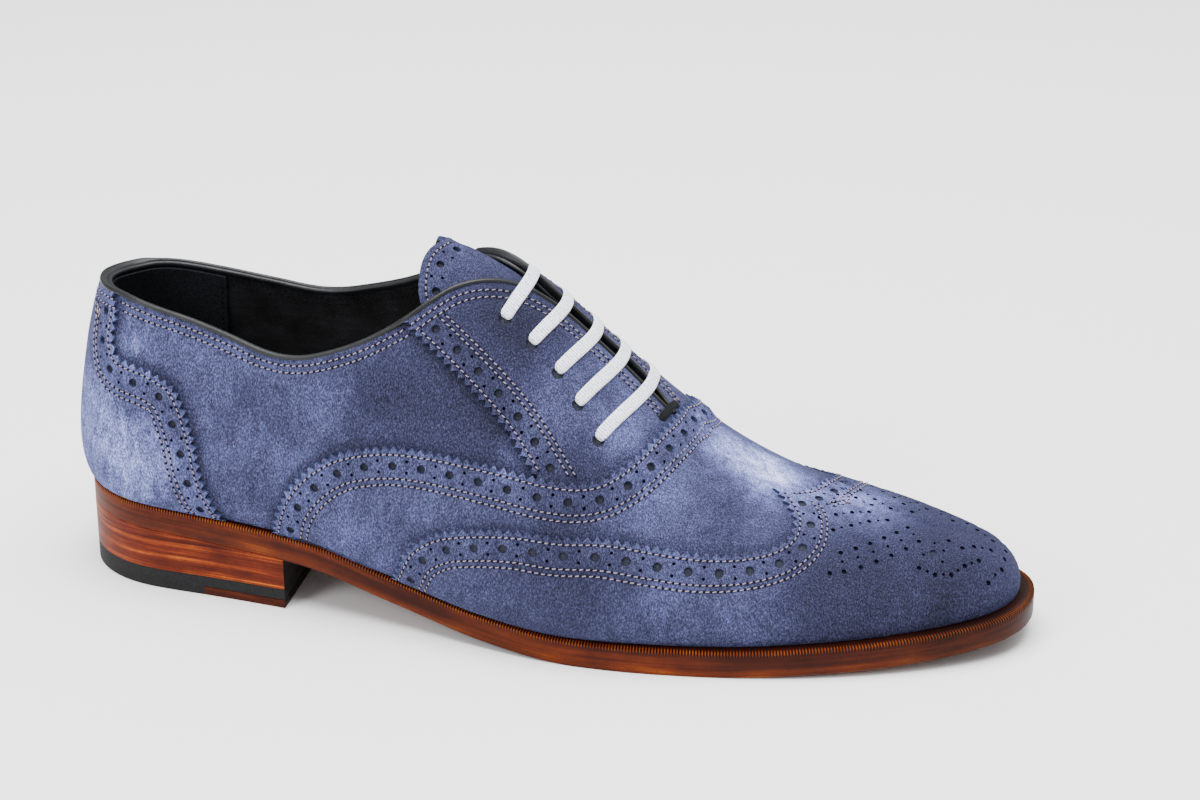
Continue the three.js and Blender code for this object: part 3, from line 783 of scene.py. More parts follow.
def in_frame(points):
    """Points in millimetres from the heel's back, moved to the frame's origin and into metres."""
    return (np.asarray(points, float) - (REST_CENTRE, 0, 0)) / 1000


def own_millimetres(mesh):
    """A mesh's points in millimetres from the heel's back."""
    return np.array([v.co for v in mesh.vertices]) * 1000 + (REST_CENTRE, 0, 0)


def store(mesh, name, values):
    """Keeps a number, or three, with each point of a mesh for its finish to read."""
    kind, key = ("FLOAT", "value") if values.ndim == 1 else ("FLOAT_VECTOR", "vector")
    made = mesh.attributes.new(name, kind, "POINT")
    made.data.foreach_set(key, values.astype(np.float32).ravel())


def mesh_piece(name, vertices, polygons, materials, kinds=None, smooth=50.0, merge=0.0, under=(), edge=None):
    """A finished piece at the origin, riding on the shoe, from points in millimetres."""
    mesh = bpy.data.meshes.new(name)
    polygons = [tuple(int(i) for i in polygon) for polygon in polygons]
    mesh.from_pydata([tuple(v) for v in in_frame(vertices)], [], polygons)
    if kinds is not None:
        mesh.polygons.foreach_set("material_index", np.asarray(kinds, np.int32))
    piece = bpy.data.objects.new(name, mesh)
    bpy.context.scene.collection.objects.link(piece)
    for material in materials:
        mesh.materials.append(material)
    mesh.validate()
    if merge:
        work = bmesh.new()
        work.from_mesh(mesh)
        bmesh.ops.remove_doubles(work, verts=work.verts, dist=merge / 1000)
        work.to_mesh(mesh)
        work.free()
    mesh.validate()
    if materials[0].name == "blue_suede":
        # Nap patches, partly painted light and shade
        points = own_millimetres(mesh)
        amount = nap_and_painted_light(points)
        # Painted shade beside the panels that lie over this one, painted highlight along its own edge
        if under:
            amount += HEM_SHADE * near_lines(points, under, HEM_WIDTH)
        if edge is not None:
            amount += EDGE_LIGHT * near_lines(points, (edge,), EDGE_WIDTH)
        store(mesh, "nap_and_painted_light", amount)
    finish_smooth(piece, smooth)
    return piece


def finish_smooth(piece, angle):
    select_only(piece)
    bpy.ops.object.shade_smooth_by_angle(angle=math.radians(angle))


def select_only(piece):
    bpy.ops.object.select_all(action="DESELECT")
    piece.select_set(True)
    bpy.context.view_layer.objects.active = piece


def ride(piece, slot, *nodes):
    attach(piece, "root")
    if nodes:
        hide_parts(*nodes)
    return piece


# Finishes


def linear(hex_colour):
    """sRGB hex to the linear colour that the shader takes."""
    parts = [int(hex_colour[i:i + 2], 16) / 255 for i in (0, 2, 4)]
    return tuple(c / 12.92 if c <= 0.04045 else ((c + 0.055) / 1.055) ** 2.4 for c in parts) + (1.0,)


def attribute(tree, name, output="Fac"):
    """A value that was stored at the points of a mesh."""
    return add_node(tree, "ShaderNodeAttribute", {"attribute_name": name}).outputs[output]


def multiplied(tree, value, times):
    """A value times a number, or times another value."""
    made = add_node(tree, "ShaderNodeMath", {"operation": "MULTIPLY"}, {0: value})
    if isinstance(times, bpy.types.NodeSocket):
        tree.links.new(times, made.inputs[1])
    else:
        made.inputs[1].default_value = times
    return made.outputs[0]


def add_node(tree, kind, settings=None, links=None):
    """A node with its settings and links. A setting is a socket's name or a property's name."""
    made = tree.nodes.new(kind)
    for key, value in (settings or {}).items():
        if isinstance(key, int) or key in made.inputs:
            made.inputs[key].default_value = value
        else:
            setattr(made, key, value)
    for key, source in (links or {}).items():
        tree.links.new(source, made.inputs[key])
    return made


def new_finish(name, **shader):
    material = bpy.data.materials.new(name)
    material.use_nodes = True
    tree = material.node_tree
    tree.nodes.clear()
    surface = add_node(tree, "ShaderNodeBsdfPrincipled", shader)
    add_node(tree, "ShaderNodeOutputMaterial", links={"Surface": surface.outputs["BSDF"]})
    return material, tree, surface


def in_millimetres(tree, stretch=(1, 1, 1), turn=(0, 0, 0)):
    """Object coordinates in millimetres, so that a pattern's scale is one over its real size."""
    where = add_node(tree, "ShaderNodeTexCoord")
    return add_node(
        tree, "ShaderNodeMapping",
        {"Scale": [1000 * s for s in stretch], "Rotation": turn}, {"Vector": where.outputs["Object"]},
    ).outputs["Vector"]


def noise(tree, vector, size, detail=2.0, roughness=0.5, distortion=0.0):
    settings = {"Scale": 1 / size, "Detail": detail, "Roughness": roughness, "Distortion": distortion}
    return add_node(tree, "ShaderNodeTexNoise", settings, {"Vector": vector}).outputs["Fac"]


def ramp(tree, value, stops):
    made = add_node(tree, "ShaderNodeValToRGB", links={"Fac": value})
    elements = made.color_ramp.elements
    while len(elements) < len(stops):
        elements.new(0.5)
    for element, (position, colour) in zip(elements, stops):
        element.position = position
        element.color = colour if len(colour) == 4 else linear(colour)
    return made.outputs["Color"]


def grey(value):
    return (value, value, value, 1.0)


def mixed(tree, factor, a, b, kind="MIX"):
    made = add_node(tree, "ShaderNodeMix", {"data_type": "RGBA", "blend_type": kind})
    for socket, source in ((made.inputs[0], factor), (made.inputs[6], a), (made.inputs[7], b)):
        if isinstance(source, bpy.types.NodeSocket):
            tree.links.new(source, socket)
        else:
            socket.default_value = source
    return made.outputs[2]


def raised(tree, height, depth, normal=None):
    """Bump from a height that runs from 0 to 1 over a depth in millimetres."""
    links = {"Height": height}
    if normal is not None:
        links["Normal"] = normal
    settings = {"Strength": 1.0, "Distance": depth / 1000}
    return add_node(tree, "ShaderNodeBump", settings, links).outputs["Normal"]


def weighted(tree, *terms, base=0.0):
    """The sum of some values, each times its weight, and a base."""
    total = None
    for source, weight in terms:
        settings = {"operation": "MULTIPLY_ADD", 1: weight, 2: base}
        times = add_node(tree, "ShaderNodeMath", settings, {0: source})
        if total is not None:
            tree.links.new(total, times.inputs[2])
        total = times.outputs[0]
    return total


def blue_suede():
    """Split leather, buffed to a nap: matt, with patches where the fibres lie over and with painted light and
    shade, both from the stored amount.
    """
    material, tree, surface = new_finish("blue_suede", **{
        "Roughness": 0.95, "Specular IOR Level": 0.1,
        "Sheen Weight": 0.1, "Sheen Roughness": 0.4, "Sheen Tint": linear("8c94d0")})
    plain = in_millimetres(tree)
    combed = in_millimetres(tree, (1.0, 1.0, 0.5), (0.4, 0.5, 0.3))
    # The nap that lies over, with painted light and shade, as stored at the points
    nap_and_light = attribute(tree, "nap_and_painted_light")
    patches = noise(tree, plain, 24.0, 3.0, 0.5, 0.5)
    streaks = noise(tree, combed, 4.5, 4.0, 0.62, 0.9)
    nap = noise(tree, combed, 0.4, 2.0, 0.75)
    broken = multiplied(tree, nap_and_light, streaks)
    tone = weighted(tree, (patches, 0.32), (streaks, 0.26), (nap_and_light, 0.06), (broken, 0.4), base=0.11)
    colour = ramp(tree, tone, [
        (0.16, "202131"), (0.3, "2b2c43"), (0.4, "383a56"), (0.5, "474b72"), (0.62, "686e9e"),
        (0.74, "8b91c6"),
        (0.9, "b2b8e4")])
    fibre = ramp(tree, nap, [(0.3, grey(0.24)), (0.5, grey(0.93)), (0.7, grey(2.6))])
    tree.links.new(mixed(tree, 1.0, colour, fibre, "MULTIPLY"), surface.inputs["Base Color"])
    tree.links.new(raised(tree, nap, 0.3, raised(tree, streaks, 0.25)), surface.inputs["Normal"])
    return material


def cut_suede(name, dark, light):
    """Suede without its nap: on cut edges and hole walls, darker partly as painted shade; on hole floors and
    in needle holes, dark as painted shade; and the black heel grip.
    """
    material, tree, surface = new_finish(name, **{"Roughness": 0.95, "Specular IOR Level": 0.1})
    nap = noise(tree, in_millimetres(tree), 0.5, 2.0)
    tree.links.new(ramp(tree, nap, [(0.3, dark), (0.7, light)]), surface.inputs["Base Color"])
    return material


def smooth_leather(name, dark, light, roughness, wrinkle=0.12, shine=0.5):
    """Drummed calf with a fine grain and a soft shine."""
    material, tree, surface = new_finish(name, **{"Roughness": roughness, "Specular IOR Level": shine})
    plain = in_millimetres(tree)
    grain = add_node(tree, "ShaderNodeTexVoronoi", {"Scale": 1.6}, {"Vector": plain}).outputs["Distance"]
    tone = noise(tree, plain, 9.0, 3.0)
    tree.links.new(ramp(tree, tone, [(0.3, dark), (0.75, light)]), surface.inputs["Base Color"])
    fold = raised(tree, noise(tree, in_millimetres(tree, (0.35, 0.35, 1.0)), 2.2, 2.0), wrinkle * 2)
    tree.links.new(raised(tree, grain, wrinkle, fold), surface.inputs["Normal"])
    return material


def waxed_thread(name, dark, light, shine=0.3):
    """Two-ply waxed thread: the plies wind round it, a little over a stitch width apart."""
    material, tree, surface = new_finish(name, **{"Roughness": 0.7, "Specular IOR Level": shine})
    twist = add_node(
        tree, "ShaderNodeTexWave", {"Scale": 2.2, "Distortion": 1.0}, {"Vector": in_millimetres(tree)}
    ).outputs["Fac"]
    tree.links.new(ramp(tree, twist, [(0.0, dark), (0.6, light)]), surface.inputs["Base Color"])
    tree.links.new(raised(tree, twist, 0.08), surface.inputs["Normal"])
    return material


def burnished_leather(name, stretch, stops, depth=0.04, along=((0.0, grey(1.0)), (1.0, grey(1.0)))):
    """Sole leather on its cut edge, stained, waxed and burnished. Its layers show as streaks. along scales
    its colour by the distance from the heel's back: painted shade where it dips below 1.
    """
    material, tree, surface = new_finish(name, **{"Roughness": 0.46, "Specular IOR Level": 0.08})
    lie = attribute(tree, "lie", "Vector")
    layers = add_node(tree, "ShaderNodeMapping", {"Scale": stretch}, {"Vector": lie}).outputs["Vector"]
    streak = add_node(
        tree, "ShaderNodeTexNoise", {"Scale": 1.0, "Detail": 4.0, "Roughness": 0.62, "Distortion": 0.3},
        {"Vector": layers}).outputs["Fac"]
    cloud = noise(tree, in_millimetres(tree, (1, 1, 1.8)), 17.0, 3.0, 0.55)
    pores = noise(tree, in_millimetres(tree), 0.6, 2.0, 0.6)
    # Painted light and shade on the welt's top, 0 elsewhere
    welt_top_light_and_shade = attribute(tree, "welt_top_light_and_shade")
    tone = weighted(tree, (streak, 0.7), (cloud, 0.3), (welt_top_light_and_shade, 0.3))
    shade = ramp(tree, pores, [(0.3, grey(0.8)), (0.6, grey(1.08))])
    # Painted shade along the length, from the along stops
    length = add_node(tree, "ShaderNodeSeparateXYZ", links={"Vector": lie}).outputs["X"]
    far = multiplied(tree, length, 1 / SHOE_LENGTH)
    shade = mixed(tree, 1.0, shade, ramp(tree, far, along), "MULTIPLY")
    tree.links.new(mixed(tree, 1.0, ramp(tree, tone, stops), shade, "MULTIPLY"), surface.inputs["Base Color"])
    tree.links.new(raised(tree, streak, depth), surface.inputs["Normal"])
    return material


def near_black_front_finish():
    """Near black, on the faces of the heel and the inset that look forward."""
    material, tree, surface = new_finish("near_black_front_finish", **{"Roughness": 0.6, "Specular IOR Level": 0.12})
    tone = noise(tree, in_millimetres(tree, (1, 0.2, 3)), 4.0, 3.0)
    tree.links.new(ramp(tree, tone, [(0.3, "0d0b0a"), (0.7, "231a15")]), surface.inputs["Base Color"])
    return material


def moulded_rubber():
    """Moulded top-piece rubber with a fine matt skin."""
    material, tree, surface = new_finish("moulded_rubber", **{"Roughness": 0.7, "Specular IOR Level": 0.18})
    tone = noise(tree, in_millimetres(tree), 0.8, 3.0)
    tree.links.new(ramp(tree, tone, [(0.3, "0d0d0e"), (0.7, "1b1b1d")]), surface.inputs["Base Color"])
    tree.links.new(raised(tree, tone, 0.06), surface.inputs["Normal"])
    return material


def woven_cotton():
    """Flat woven cotton lace: a fine braid of about half a millimetre, drawn a little coarser to show."""
    material, tree, surface = new_finish("woven_cotton", **{"Roughness": 0.85, "Sheen Weight": 0.3})
    settings = {"Scale": 0.38, "Distortion": 1.4, "bands_direction": "DIAGONAL"}
    braid, cross = (
        add_node(tree, "ShaderNodeTexWave", settings, {"Vector": lie}).outputs["Fac"]
        for lie in (in_millimetres(tree), in_millimetres(tree, (1, -1, 1), (0, 0, 1.57))))
    yarn = noise(tree, in_millimetres(tree), 0.42, 2.0, 0.7)
    weave = mixed(tree, 0.86, mixed(tree, 0.5, braid, cross), yarn)
    tree.links.new(ramp(tree, weave, [(0.36, "9293ae"), (0.52, "f6f7ff")]), surface.inputs["Base Color"])
    tree.links.new(raised(tree, weave, 0.2), surface.inputs["Normal"])
    return material


SUEDE = blue_suede()
# Walls of the teeth and the large holes: cut suede, drawn darker as painted shade
CUT_EDGE_SHADE = cut_suede("cut_suede_edge_painted_shade", "20243a", "40476a")
# Painted shade: the floor of the large holes drawn dark grey
HOLE_FLOOR_SHADE = cut_suede("painted_shade_hole_floor", "1e202b", "363842")
# Painted shade: near black in the needle holes and the small punched holes
NEEDLE_HOLE_SHADE = cut_suede("needle_hole", "06070e", "10142a")
SUEDE_PANEL = [SUEDE, CUT_EDGE_SHADE, HOLE_FLOOR_SHADE, NEEDLE_HOLE_SHADE]
GRIP = cut_suede("black_heel_grip_suede", "0e0f11", "26282c")
LINING = smooth_leather("black_lining_leather", "0c0c0d", "222225", 0.36, 0.2)
BINDING = smooth_leather("rolled_binding_leather", "0a0b0d", "17191d", 0.4, 0.05, 0.3)
THREAD = waxed_thread("pale_waxed_thread", "7b6b77", "b8a8b1")
DARK_THREAD = waxed_thread("dark_waxed_thread", "090a0c", "15171b", 0.15)
# The sole's along stops are painted shade: darker at the waist and towards the toe
SOLE_LEATHER = burnished_leather("burnished_sole_edge", (0.012, 0.012, 0.35), [
    (0.3, "1f0804"), (0.46, "3d1509"), (0.6, "62270c"), (0.78, "a05618")],
    along=[(0.0, grey(1.0)), (0.2, grey(0.85)), (0.42, grey(0.6)), (0.6, grey(1.0)), (0.84, grey(0.75)),
           (0.93, grey(0.4)), (1.0, grey(0.32))])
HEEL_LEATHER = burnished_leather("stacked_heel_leather", (0.014, 0.014, 0.75), [
    (0.36, "300c04"), (0.5, "5c1f0c"), (0.6, "8c3e14"), (0.7, "d08020")])
FRONT_FACE_FINISH = near_black_front_finish()
RUBBER = moulded_rubber()
COTTON = woven_cotton()

# Upper


MIDDLE_LINE = smooth_line(MIDDLE_ROWS)
CREASE_LINES = [
    (last_point(*np.linspace(start, end, 17).T), width, depth)
    for start, end, width, depth in CREASES.values()]
rim = smooth_line(RIM)
far_rim = far_side(rim)
far_rim[:, 1] -= INNER_RIM_RISE * np.exp(-((rim[:, 0] - INNER_RIM_TURN) / INNER_RIM_RUN) ** 2)
rim_low = beside(rim, -BINDING_COVER, 1)
far_rim_low = beside(far_rim, -BINDING_COVER, -1)
counter_line = smooth_line(COUNTER_EDGE)
eyestay_line = smooth_line(EYESTAY_EDGE)
vamp_line = smooth_line(VAMP_EDGE)
cap_line = smooth_line(CAP_EDGE)
far_cap_line = smooth_line(FAR_CAP_EDGE)
tongue_line = smooth_line(TONGUE_EDGE)


def straight(a, b, spacing=GRAIN_SPACING):
    """Even places on a straight run of the chart, with both ends."""
    line = np.column_stack([np.linspace(a[0], b[0], 80), np.linspace(a[1], b[1], 80)])
    return resample(line, spacing)


def joined(*parts):
    """One closed outline from its parts, without the places that two parts share."""
    whole = np.vstack(parts)
    ahead = np.roll(whole, -1, 0)
    far = np.linalg.norm((whole - ahead) * CHART, axis=1)
    return whole[far > 0.05]


def toe_seam():
    """Where the two sides meet at the toe, from the inner welt to the outer."""
    toe = straight((TOE, 0), (TOE, 1))
    return np.vstack([plain_twin(toe)[:-1], toe[::-1]])


def leather_panel(name, outline, chart, materials=None, merge=0.0, under=(), edge=None, **fit):
    """A panel of suede, or of another leather, fitted to the last and made a piece."""
    vertices, polygons, kinds = fit_panel(outline, chart, **fit)
    materials = materials or SUEDE_PANEL
    return mesh_piece(name, vertices, polygons, materials, kinds, merge=merge, under=under, edge=edge)


def quarters_outline():
    """From heel to toe along the rim, back along the inner side, and round the welt."""
    edge = resample(rim_low, GRAIN_SPACING)
    heel = straight((0, 0), (0, edge[0, 1]))
    welt_line = straight((0, 0), (TOE, 0))
    far_edge = resample(far_rim_low, GRAIN_SPACING)[::-1]
    far_welt = plain_twin(welt_line)[::-1]
    return joined(heel, edge, far_edge, plain_twin(heel), far_welt, toe_seam(), welt_line[::-1])


def shoe_shell(name, **fit):
    """A wall that runs all round the shoe, sealed at the heel and at the toe."""
    return leather_panel(name, quarters_outline(), "ridge", merge=SEAM_MERGE, sealed=(0, TOE), **fit)


def band_rows(line, side=1):
    """The three seams beside a pattern edge, trimmed at the welt and at the middle."""
    return [beside(line, -offset, side) for offset in (EDGE_ROW, *DOUBLE_ROWS)]


def stitch_places(rows):
    return np.vstack([resample(row, STITCH_PITCH) for row in rows])


def brogue_punches(line, inset=4.0):
    """Large holes with a pair of small ones between each two, along a line."""
    count = max(int(round((lengths(line)[-1] - 2 * inset) / PUNCH_PITCH)), 1)
    marks = resample(line, 0, 2 * count, inset)
    ahead = headings(marks)
    pits = []
    for i, (turn, up) in enumerate(marks):
        if i % 2 == 0:
            pits.append((turn, up, PUNCH_WIDTH, 14))
            continue
        for side in (-PAIR_SPREAD, PAIR_SPREAD):
            pair_turn, pair_up = steps_on_last(turn, up, side, 0.0, ahead[i])
            pits.append((float(pair_turn), float(pair_up), PAIR_WIDTH, SMALL_PIT_SIDES))
    return pits


def pits_over_ridge(pits):
    return [(turn, 2 - float(inner_up(turn, up)), width, sides) for turn, up, width, sides in pits]


def pits_round_heel(pits):
    return [(-turn, up, width, sides) for turn, up, width, sides in pits]


def stitch_marks(line):
    """Middles and headings of the stitches along a line."""
    marks = resample(line, STITCH_PITCH, None, STITCH_INSET)
    middles = (marks[1:] + marks[:-1]) / 2
    return middles, headings(resample(line, 0, 2 * len(middles), STITCH_INSET))[1::2]


def gathered(parts):
    """The points and the faces of several forms as one form."""
    points, faces, start = [], [], 0
    for vertices, polygons in parts:
        points.append(vertices)
        faces += [tuple(i + start for i in polygon) for polygon in polygons]
        start += len(vertices)
    return np.vstack(points), faces


class Sewing:
    """Collects threads and needle holes, and makes one piece of each."""

    def __init__(self):
        self.threads, self.holes = [], []

    def sew(self, line, layer, flip=False, lift=no_lift):
        """A row of stitches on a layer. flip turns them to the inside of the shoe, where no hole shows."""
        middles, ahead = stitch_marks(line)
        normal = outward(*middles.T) * (-1 if flip else 1)
        centre = place(*middles.T, layer + lift(*middles.T))
        ahead = unit(ahead + np.cross(normal, ahead) * STITCH_SLANT)
        stitches = zip(centre, ahead, np.cross(normal, ahead), normal)
        self.threads += [thread_stitch(*stitch) for stitch in stitches]
        if not flip:
            holes = resample(line, 0, len(middles), STITCH_INSET)
            self.holes += needle_holes(holes, layer + lift(*holes.T), headings(holes))

    def pieces(self, name, thread, hole):
        made = []
        for forms, material, part in ((self.threads, thread, "threads"), (self.holes, hole, "needle_holes")):
            if forms:
                made.append(mesh_piece(f"{name}_{part}", *gathered(forms), [material], smooth=80))
        return made


def needle_holes(holes, layer, ahead):
    """Low near-black cones where the thread goes in: painted shade in the needle holes."""
    radius = (STITCH_PITCH - STITCH_LENGTH + 0.25) / 2
    normal = outward(*holes.T)
    centre = place(*holes.T, layer + 0.02)
    fan = [(0, i + 1, (i + 1) % 6 + 1) for i in range(6)]
    made = []
    for c, t, b, n in zip(centre, ahead, np.cross(normal, ahead), normal):
        ring = [c + (math.cos(k) * t + math.sin(k) * b) * radius for k in np.arange(6) * math.pi / 3]
        made.append((np.array([c + n * 0.06] + ring), fan))
    return made


def thread_stitch(centre, ahead, beside, normal):
    """One short run of thread that rises from the leather and goes back in."""
    points, faces = [], []
    for along, lift in ((-0.38, 0.02), (0.0, 0.17), (0.38, 0.02)):
        for k in range(6):
            turn = k * math.pi / 3
            side, out = math.cos(turn) * THREAD_WIDTH / 2, math.sin(turn) * THREAD_WIDTH / 2
            points.append(centre + ahead * along * STITCH_LENGTH + beside * side + normal * (out + lift))
    first = len(points)
    for end in (-0.52, 0.52):
        points.append(centre + ahead * end * STITCH_LENGTH - normal * 0.2)
    for k in range(6):
        after_k = (k + 1) % 6
        faces += [(r + k, r + after_k, r + after_k + 6, r + k + 6) for r in (0, 6)]
        faces += [(first, after_k, k), (first + 1, 12 + k, 12 + after_k)]
    return np.array(points), faces


upper_sewing = Sewing()
lining_sewing = Sewing()


def until(line, wall):
    """The part of a line that comes before it meets another line, or all of it."""
    try:
        step, _, point = crossing(line, wall)
    except ValueError:
        return line
    return before(line, step, point)


def since(line, wall):
    """The part of a line that comes after it meets another line, or all of it."""
    try:
        step, _, point = crossing(line, wall)
    except ValueError:
        return line
    return after(line, step, point)


def make_quarters():
    """The quarters with the vamp's base as one wall, and the lining inside them."""
    eyelets = eyelet_pits()
    pits = eyelets + pits_over_ridge(eyelets)
    region = np.vstack([kept_run(moved_line(vamp_line, -QUARTER_LAP), 0.0, 2.0), [[20, 2], [20, 0]]])

    def hidden(places):
        return inside(places * CHART, region * CHART)

    # Painted shade on the quarters beside the edges of the panels sewn over them
    under = (vamp_line, counter_line, far_side(counter_line), eyestay_line, far_side(eyestay_line))
    piece = shoe_shell("quarters", outer=QUARTER_OUT, inner=QUARTER_IN, pits=pits, hidden=hidden, under=under)
    ride(piece, "suede", "upper")
    lining = shoe_shell(
        "lining", outer=LINING_OUT, inner=LINING_IN, spacing=HIDDEN_SPACING, materials=[LINING])
    ride(lining, "lining")


# How far from the vamp's edge it lies over the eyestays, and from which section on
LAP_REACH, LAP_RAMP, LAP_START = 10.0, 3.5, 7.22


def eyelet_pits():
    """The holes for the lace on the outer side."""
    return [(turn, up - EYELET_DROP, EYELET_WIDTH, 16) for turn, up, _ in EYELET_ROWS.values()]


def lap_over_eyestays(turn, up):
    """How much higher the vamp lies where the eyestays' lower ends are under it."""
    far = gaps(last_point(turn, up), last_point(*resample(vamp_line, 0.8).T))
    share = np.clip((LAP_REACH - far) / LAP_RAMP, 0, 1)
    ahead = 1 / (1 + np.exp(np.clip((LAP_START - turn) / 0.05, -30, 30)))
    return OVERLAY_OUT * share * share * (3 - 2 * share) * ahead


def make_vamp():
    """The overlay over the waist and instep, under the wing cap's edge."""
    teeth = pinked(vamp_line)
    covers = beside(cap_line, 2.0, 1), beside(far_cap_line, 2.0, -1)
    near_front = resample(beside(cap_line, -CAP_LAP, 1), GRAIN_SPACING)
    far_front = resample(beside(far_cap_line, -CAP_LAP, -1), GRAIN_SPACING)
    near_welt, far_welt = straight(teeth[0], near_front[0]), straight(teeth[-1], far_front[0])
    outline = joined(teeth, far_welt, far_front, near_front[::-1], near_welt[::-1])
    rows = [on_vamp(offset, covers) for offset in (EDGE_ROW, *DOUBLE_ROWS)]
    for row in rows:
        upper_sewing.sew(row, OVERLAY_OUT, lift=lap_over_eyestays)
    pits = brogue_punches(on_vamp(PUNCH_ROW, covers))
    piece = leather_panel(
        "vamp_panel", outline, "ridge", pits=pits, rows=stitch_places(rows), lift=lap_over_eyestays,
        under=(cap_line, far_cap_line), edge=vamp_line)
    ride(piece, "suede", "vamp")


def on_vamp(offset, covers):
    """A line beside the vamp's edge from the cap's near wing, over the ridge, to its far wing."""
    row = clear_of_ridge(kept_run(moved_line(vamp_line, -offset), 0.0, 2.0), WIDE_CLEARANCE)
    row = smooth_line(resample(row, 6.0), 8)
    row = until(row[len(row) // 2::-1], covers[0])[::-1], until(row[len(row) // 2:], covers[1])
    return np.vstack([row[0][:-1], row[1]])


def make_wing_cap():
    """The winged toe cap with its medallion."""
    edges, rows, pits = [], [], []
    for line, side in ((cap_line, 1), (far_cap_line, -1)):
        edges.append(pinked(line, side))
        rows += band_rows(line, side)
        pits += brogue_punches(beside(line, -PUNCH_ROW, side))
    near_welt, far_welt = straight(edges[0][0], (TOE, 0)), straight(edges[1][0], (TOE, 2))
    outline = joined(edges[0], edges[1][::-1], far_welt, toe_seam(), near_welt[::-1])
    for row in rows:
        upper_sewing.sew(row, CAP_OUT)
    whole = np.vstack([cap_line, far_cap_line[::-1]])
    piece = leather_panel(
        "wing_cap_panel", outline, "ridge", pits=pits + medallion_pits(), rows=stitch_places(rows),
        outer=CAP_OUT, inner=CAP_IN, sealed=(TOE,), floor=OVERLAY_OUT + PIT_FLOOR, merge=SEAM_MERGE,
        edge=whole)
    ride(piece, "suede", "wing_cap")


# Medallion of the cap, one half: forward and aside of its middle, in mm. The middle lies on the centre line.
MEDALLION_X, MEDALLION_Y = 266.0, -0.8
MEDALLION_ARMS = [
    (-0.5, 5.6), (-3.6, 9.4), (-7.0, 13.0), (-10.8, 16.4), (-14.8, 19.6), (-19.0, 22.4),
    (3.6, 10.6), (0.0, 14.6), (-4.0, 18.2), (-8.2, 21.4), (-12.6, 24.4), (-17.2, 27.0), (-21.4, 28.6),
]
MEDALLION_FAN = [
    (-7.0, 4.2), (-12.4, 7.4), (-13.0, 2.2), (-18.0, 5.0), (-17.4, 11.4), (-22.6, 8.4), (-22.4, 15.4),
    (-27.2, 12.0), (-24.0, 2.2),
]
MEDALLION_FRONT = [
    (12.2, 6.8), (16.4, 8.0), (19.6, 5.4), (21.4, 9.6), (24.4, 3.0), (17.6, 13.2), (14.0, 16.8),
    (9.4, 18.6), (4.6, 18.8), (27.8, 7.0), (24.6, 12.8), (28.2, 2.4),
]
MEDALLION_EYES = [(8.2, 13.0)]
MEDALLION_PINS = [
    (1.5, 8.1), (-1.8, 12.0), (-5.5, 15.6), (-9.5, 18.9), (-13.7, 22.0), (-18.1, 24.7),
    (-9.7, 5.8), (-15.5, 3.6), (-14.9, 9.4), (-20.3, 6.7), (-19.9, 13.4),
    (22.0, 4.2), (19.5, 11.4), (15.8, 15.0), (11.7, 17.7), (7.0, 18.7), (26.2, 9.9),
    (8.2, 9.6), (11.1, 11.3), (11.1, 14.7), (5.3, 14.7),
]
# Places, width of their holes and number of sides
MEDALLION_PITS = (
    (MEDALLION_ARMS + MEDALLION_FAN + MEDALLION_FRONT, 1.5, 8),
    (MEDALLION_EYES, 2.2, 12),
    (MEDALLION_PINS, 1.0, 6),
)


def medallion_pits():
    """The places are found from above, on a fine net over the cap."""
    turns, ups = np.meshgrid(np.linspace(9.6, TOE - 0.04, 420), np.linspace(0.1, 1.0, 260), indexing="ij")
    turns, ups = turns.ravel(), ups.ravel()
    nets = ((turns, ups, last_point(turns, ups)), (turns, 2 - ups, last_point(turns, 2 - ups)))
    pits = []
    for (net_turn, net_up, net_place), side in zip(nets, (-1, 1)):
        for places, width, sides in MEDALLION_PITS:
            for forward, aside in places:
                at = (MEDALLION_X + forward, MEDALLION_Y + side * aside)
                near = np.argmin(np.linalg.norm(net_place[:, :2] - at, axis=1))
                pits.append((net_turn[near], net_up[near], width, sides))
    return pits


def make_counter():
    """The overlay round the heel."""
    low_rim = rim_low[rim_low[:, 0] < 4]
    step, wall, meet = crossing(counter_line, low_rim)
    line = after(counter_line, step, meet)
    teeth = pinked(line)
    collar = resample(np.vstack([low_rim[:wall + 1], meet[None]]), GRAIN_SPACING)
    welt_line = straight((0, 0), (teeth[-1, 0], 0))
    foot = welt_line[::-1], round_heel(welt_line)[::-1]
    outline = joined(round_heel(collar)[:-1], collar, teeth, *foot, round_heel(teeth))
    stop = moved_line(rim, -COLLAR_CLEAR)
    holes = since(beside(line, -PUNCH_ROW, 1), stop)
    pits = brogue_punches(holes[holes[:, 0] > 0.35])
    rows = []
    for row in band_rows(line):
        row = since(row, stop)
        row = row[row[:, 0] > 0.12]
        rows += [row, round_heel(row)]
    for row in rows:
        upper_sewing.sew(row, OVERLAY_OUT)
    piece = leather_panel(
        "counter_panel", outline, "heel", pits=pits + pits_round_heel(pits), rows=stitch_places(rows),
        edge=np.vstack([round_heel(line), line]))
    ride(piece, "suede", "heel_counter")


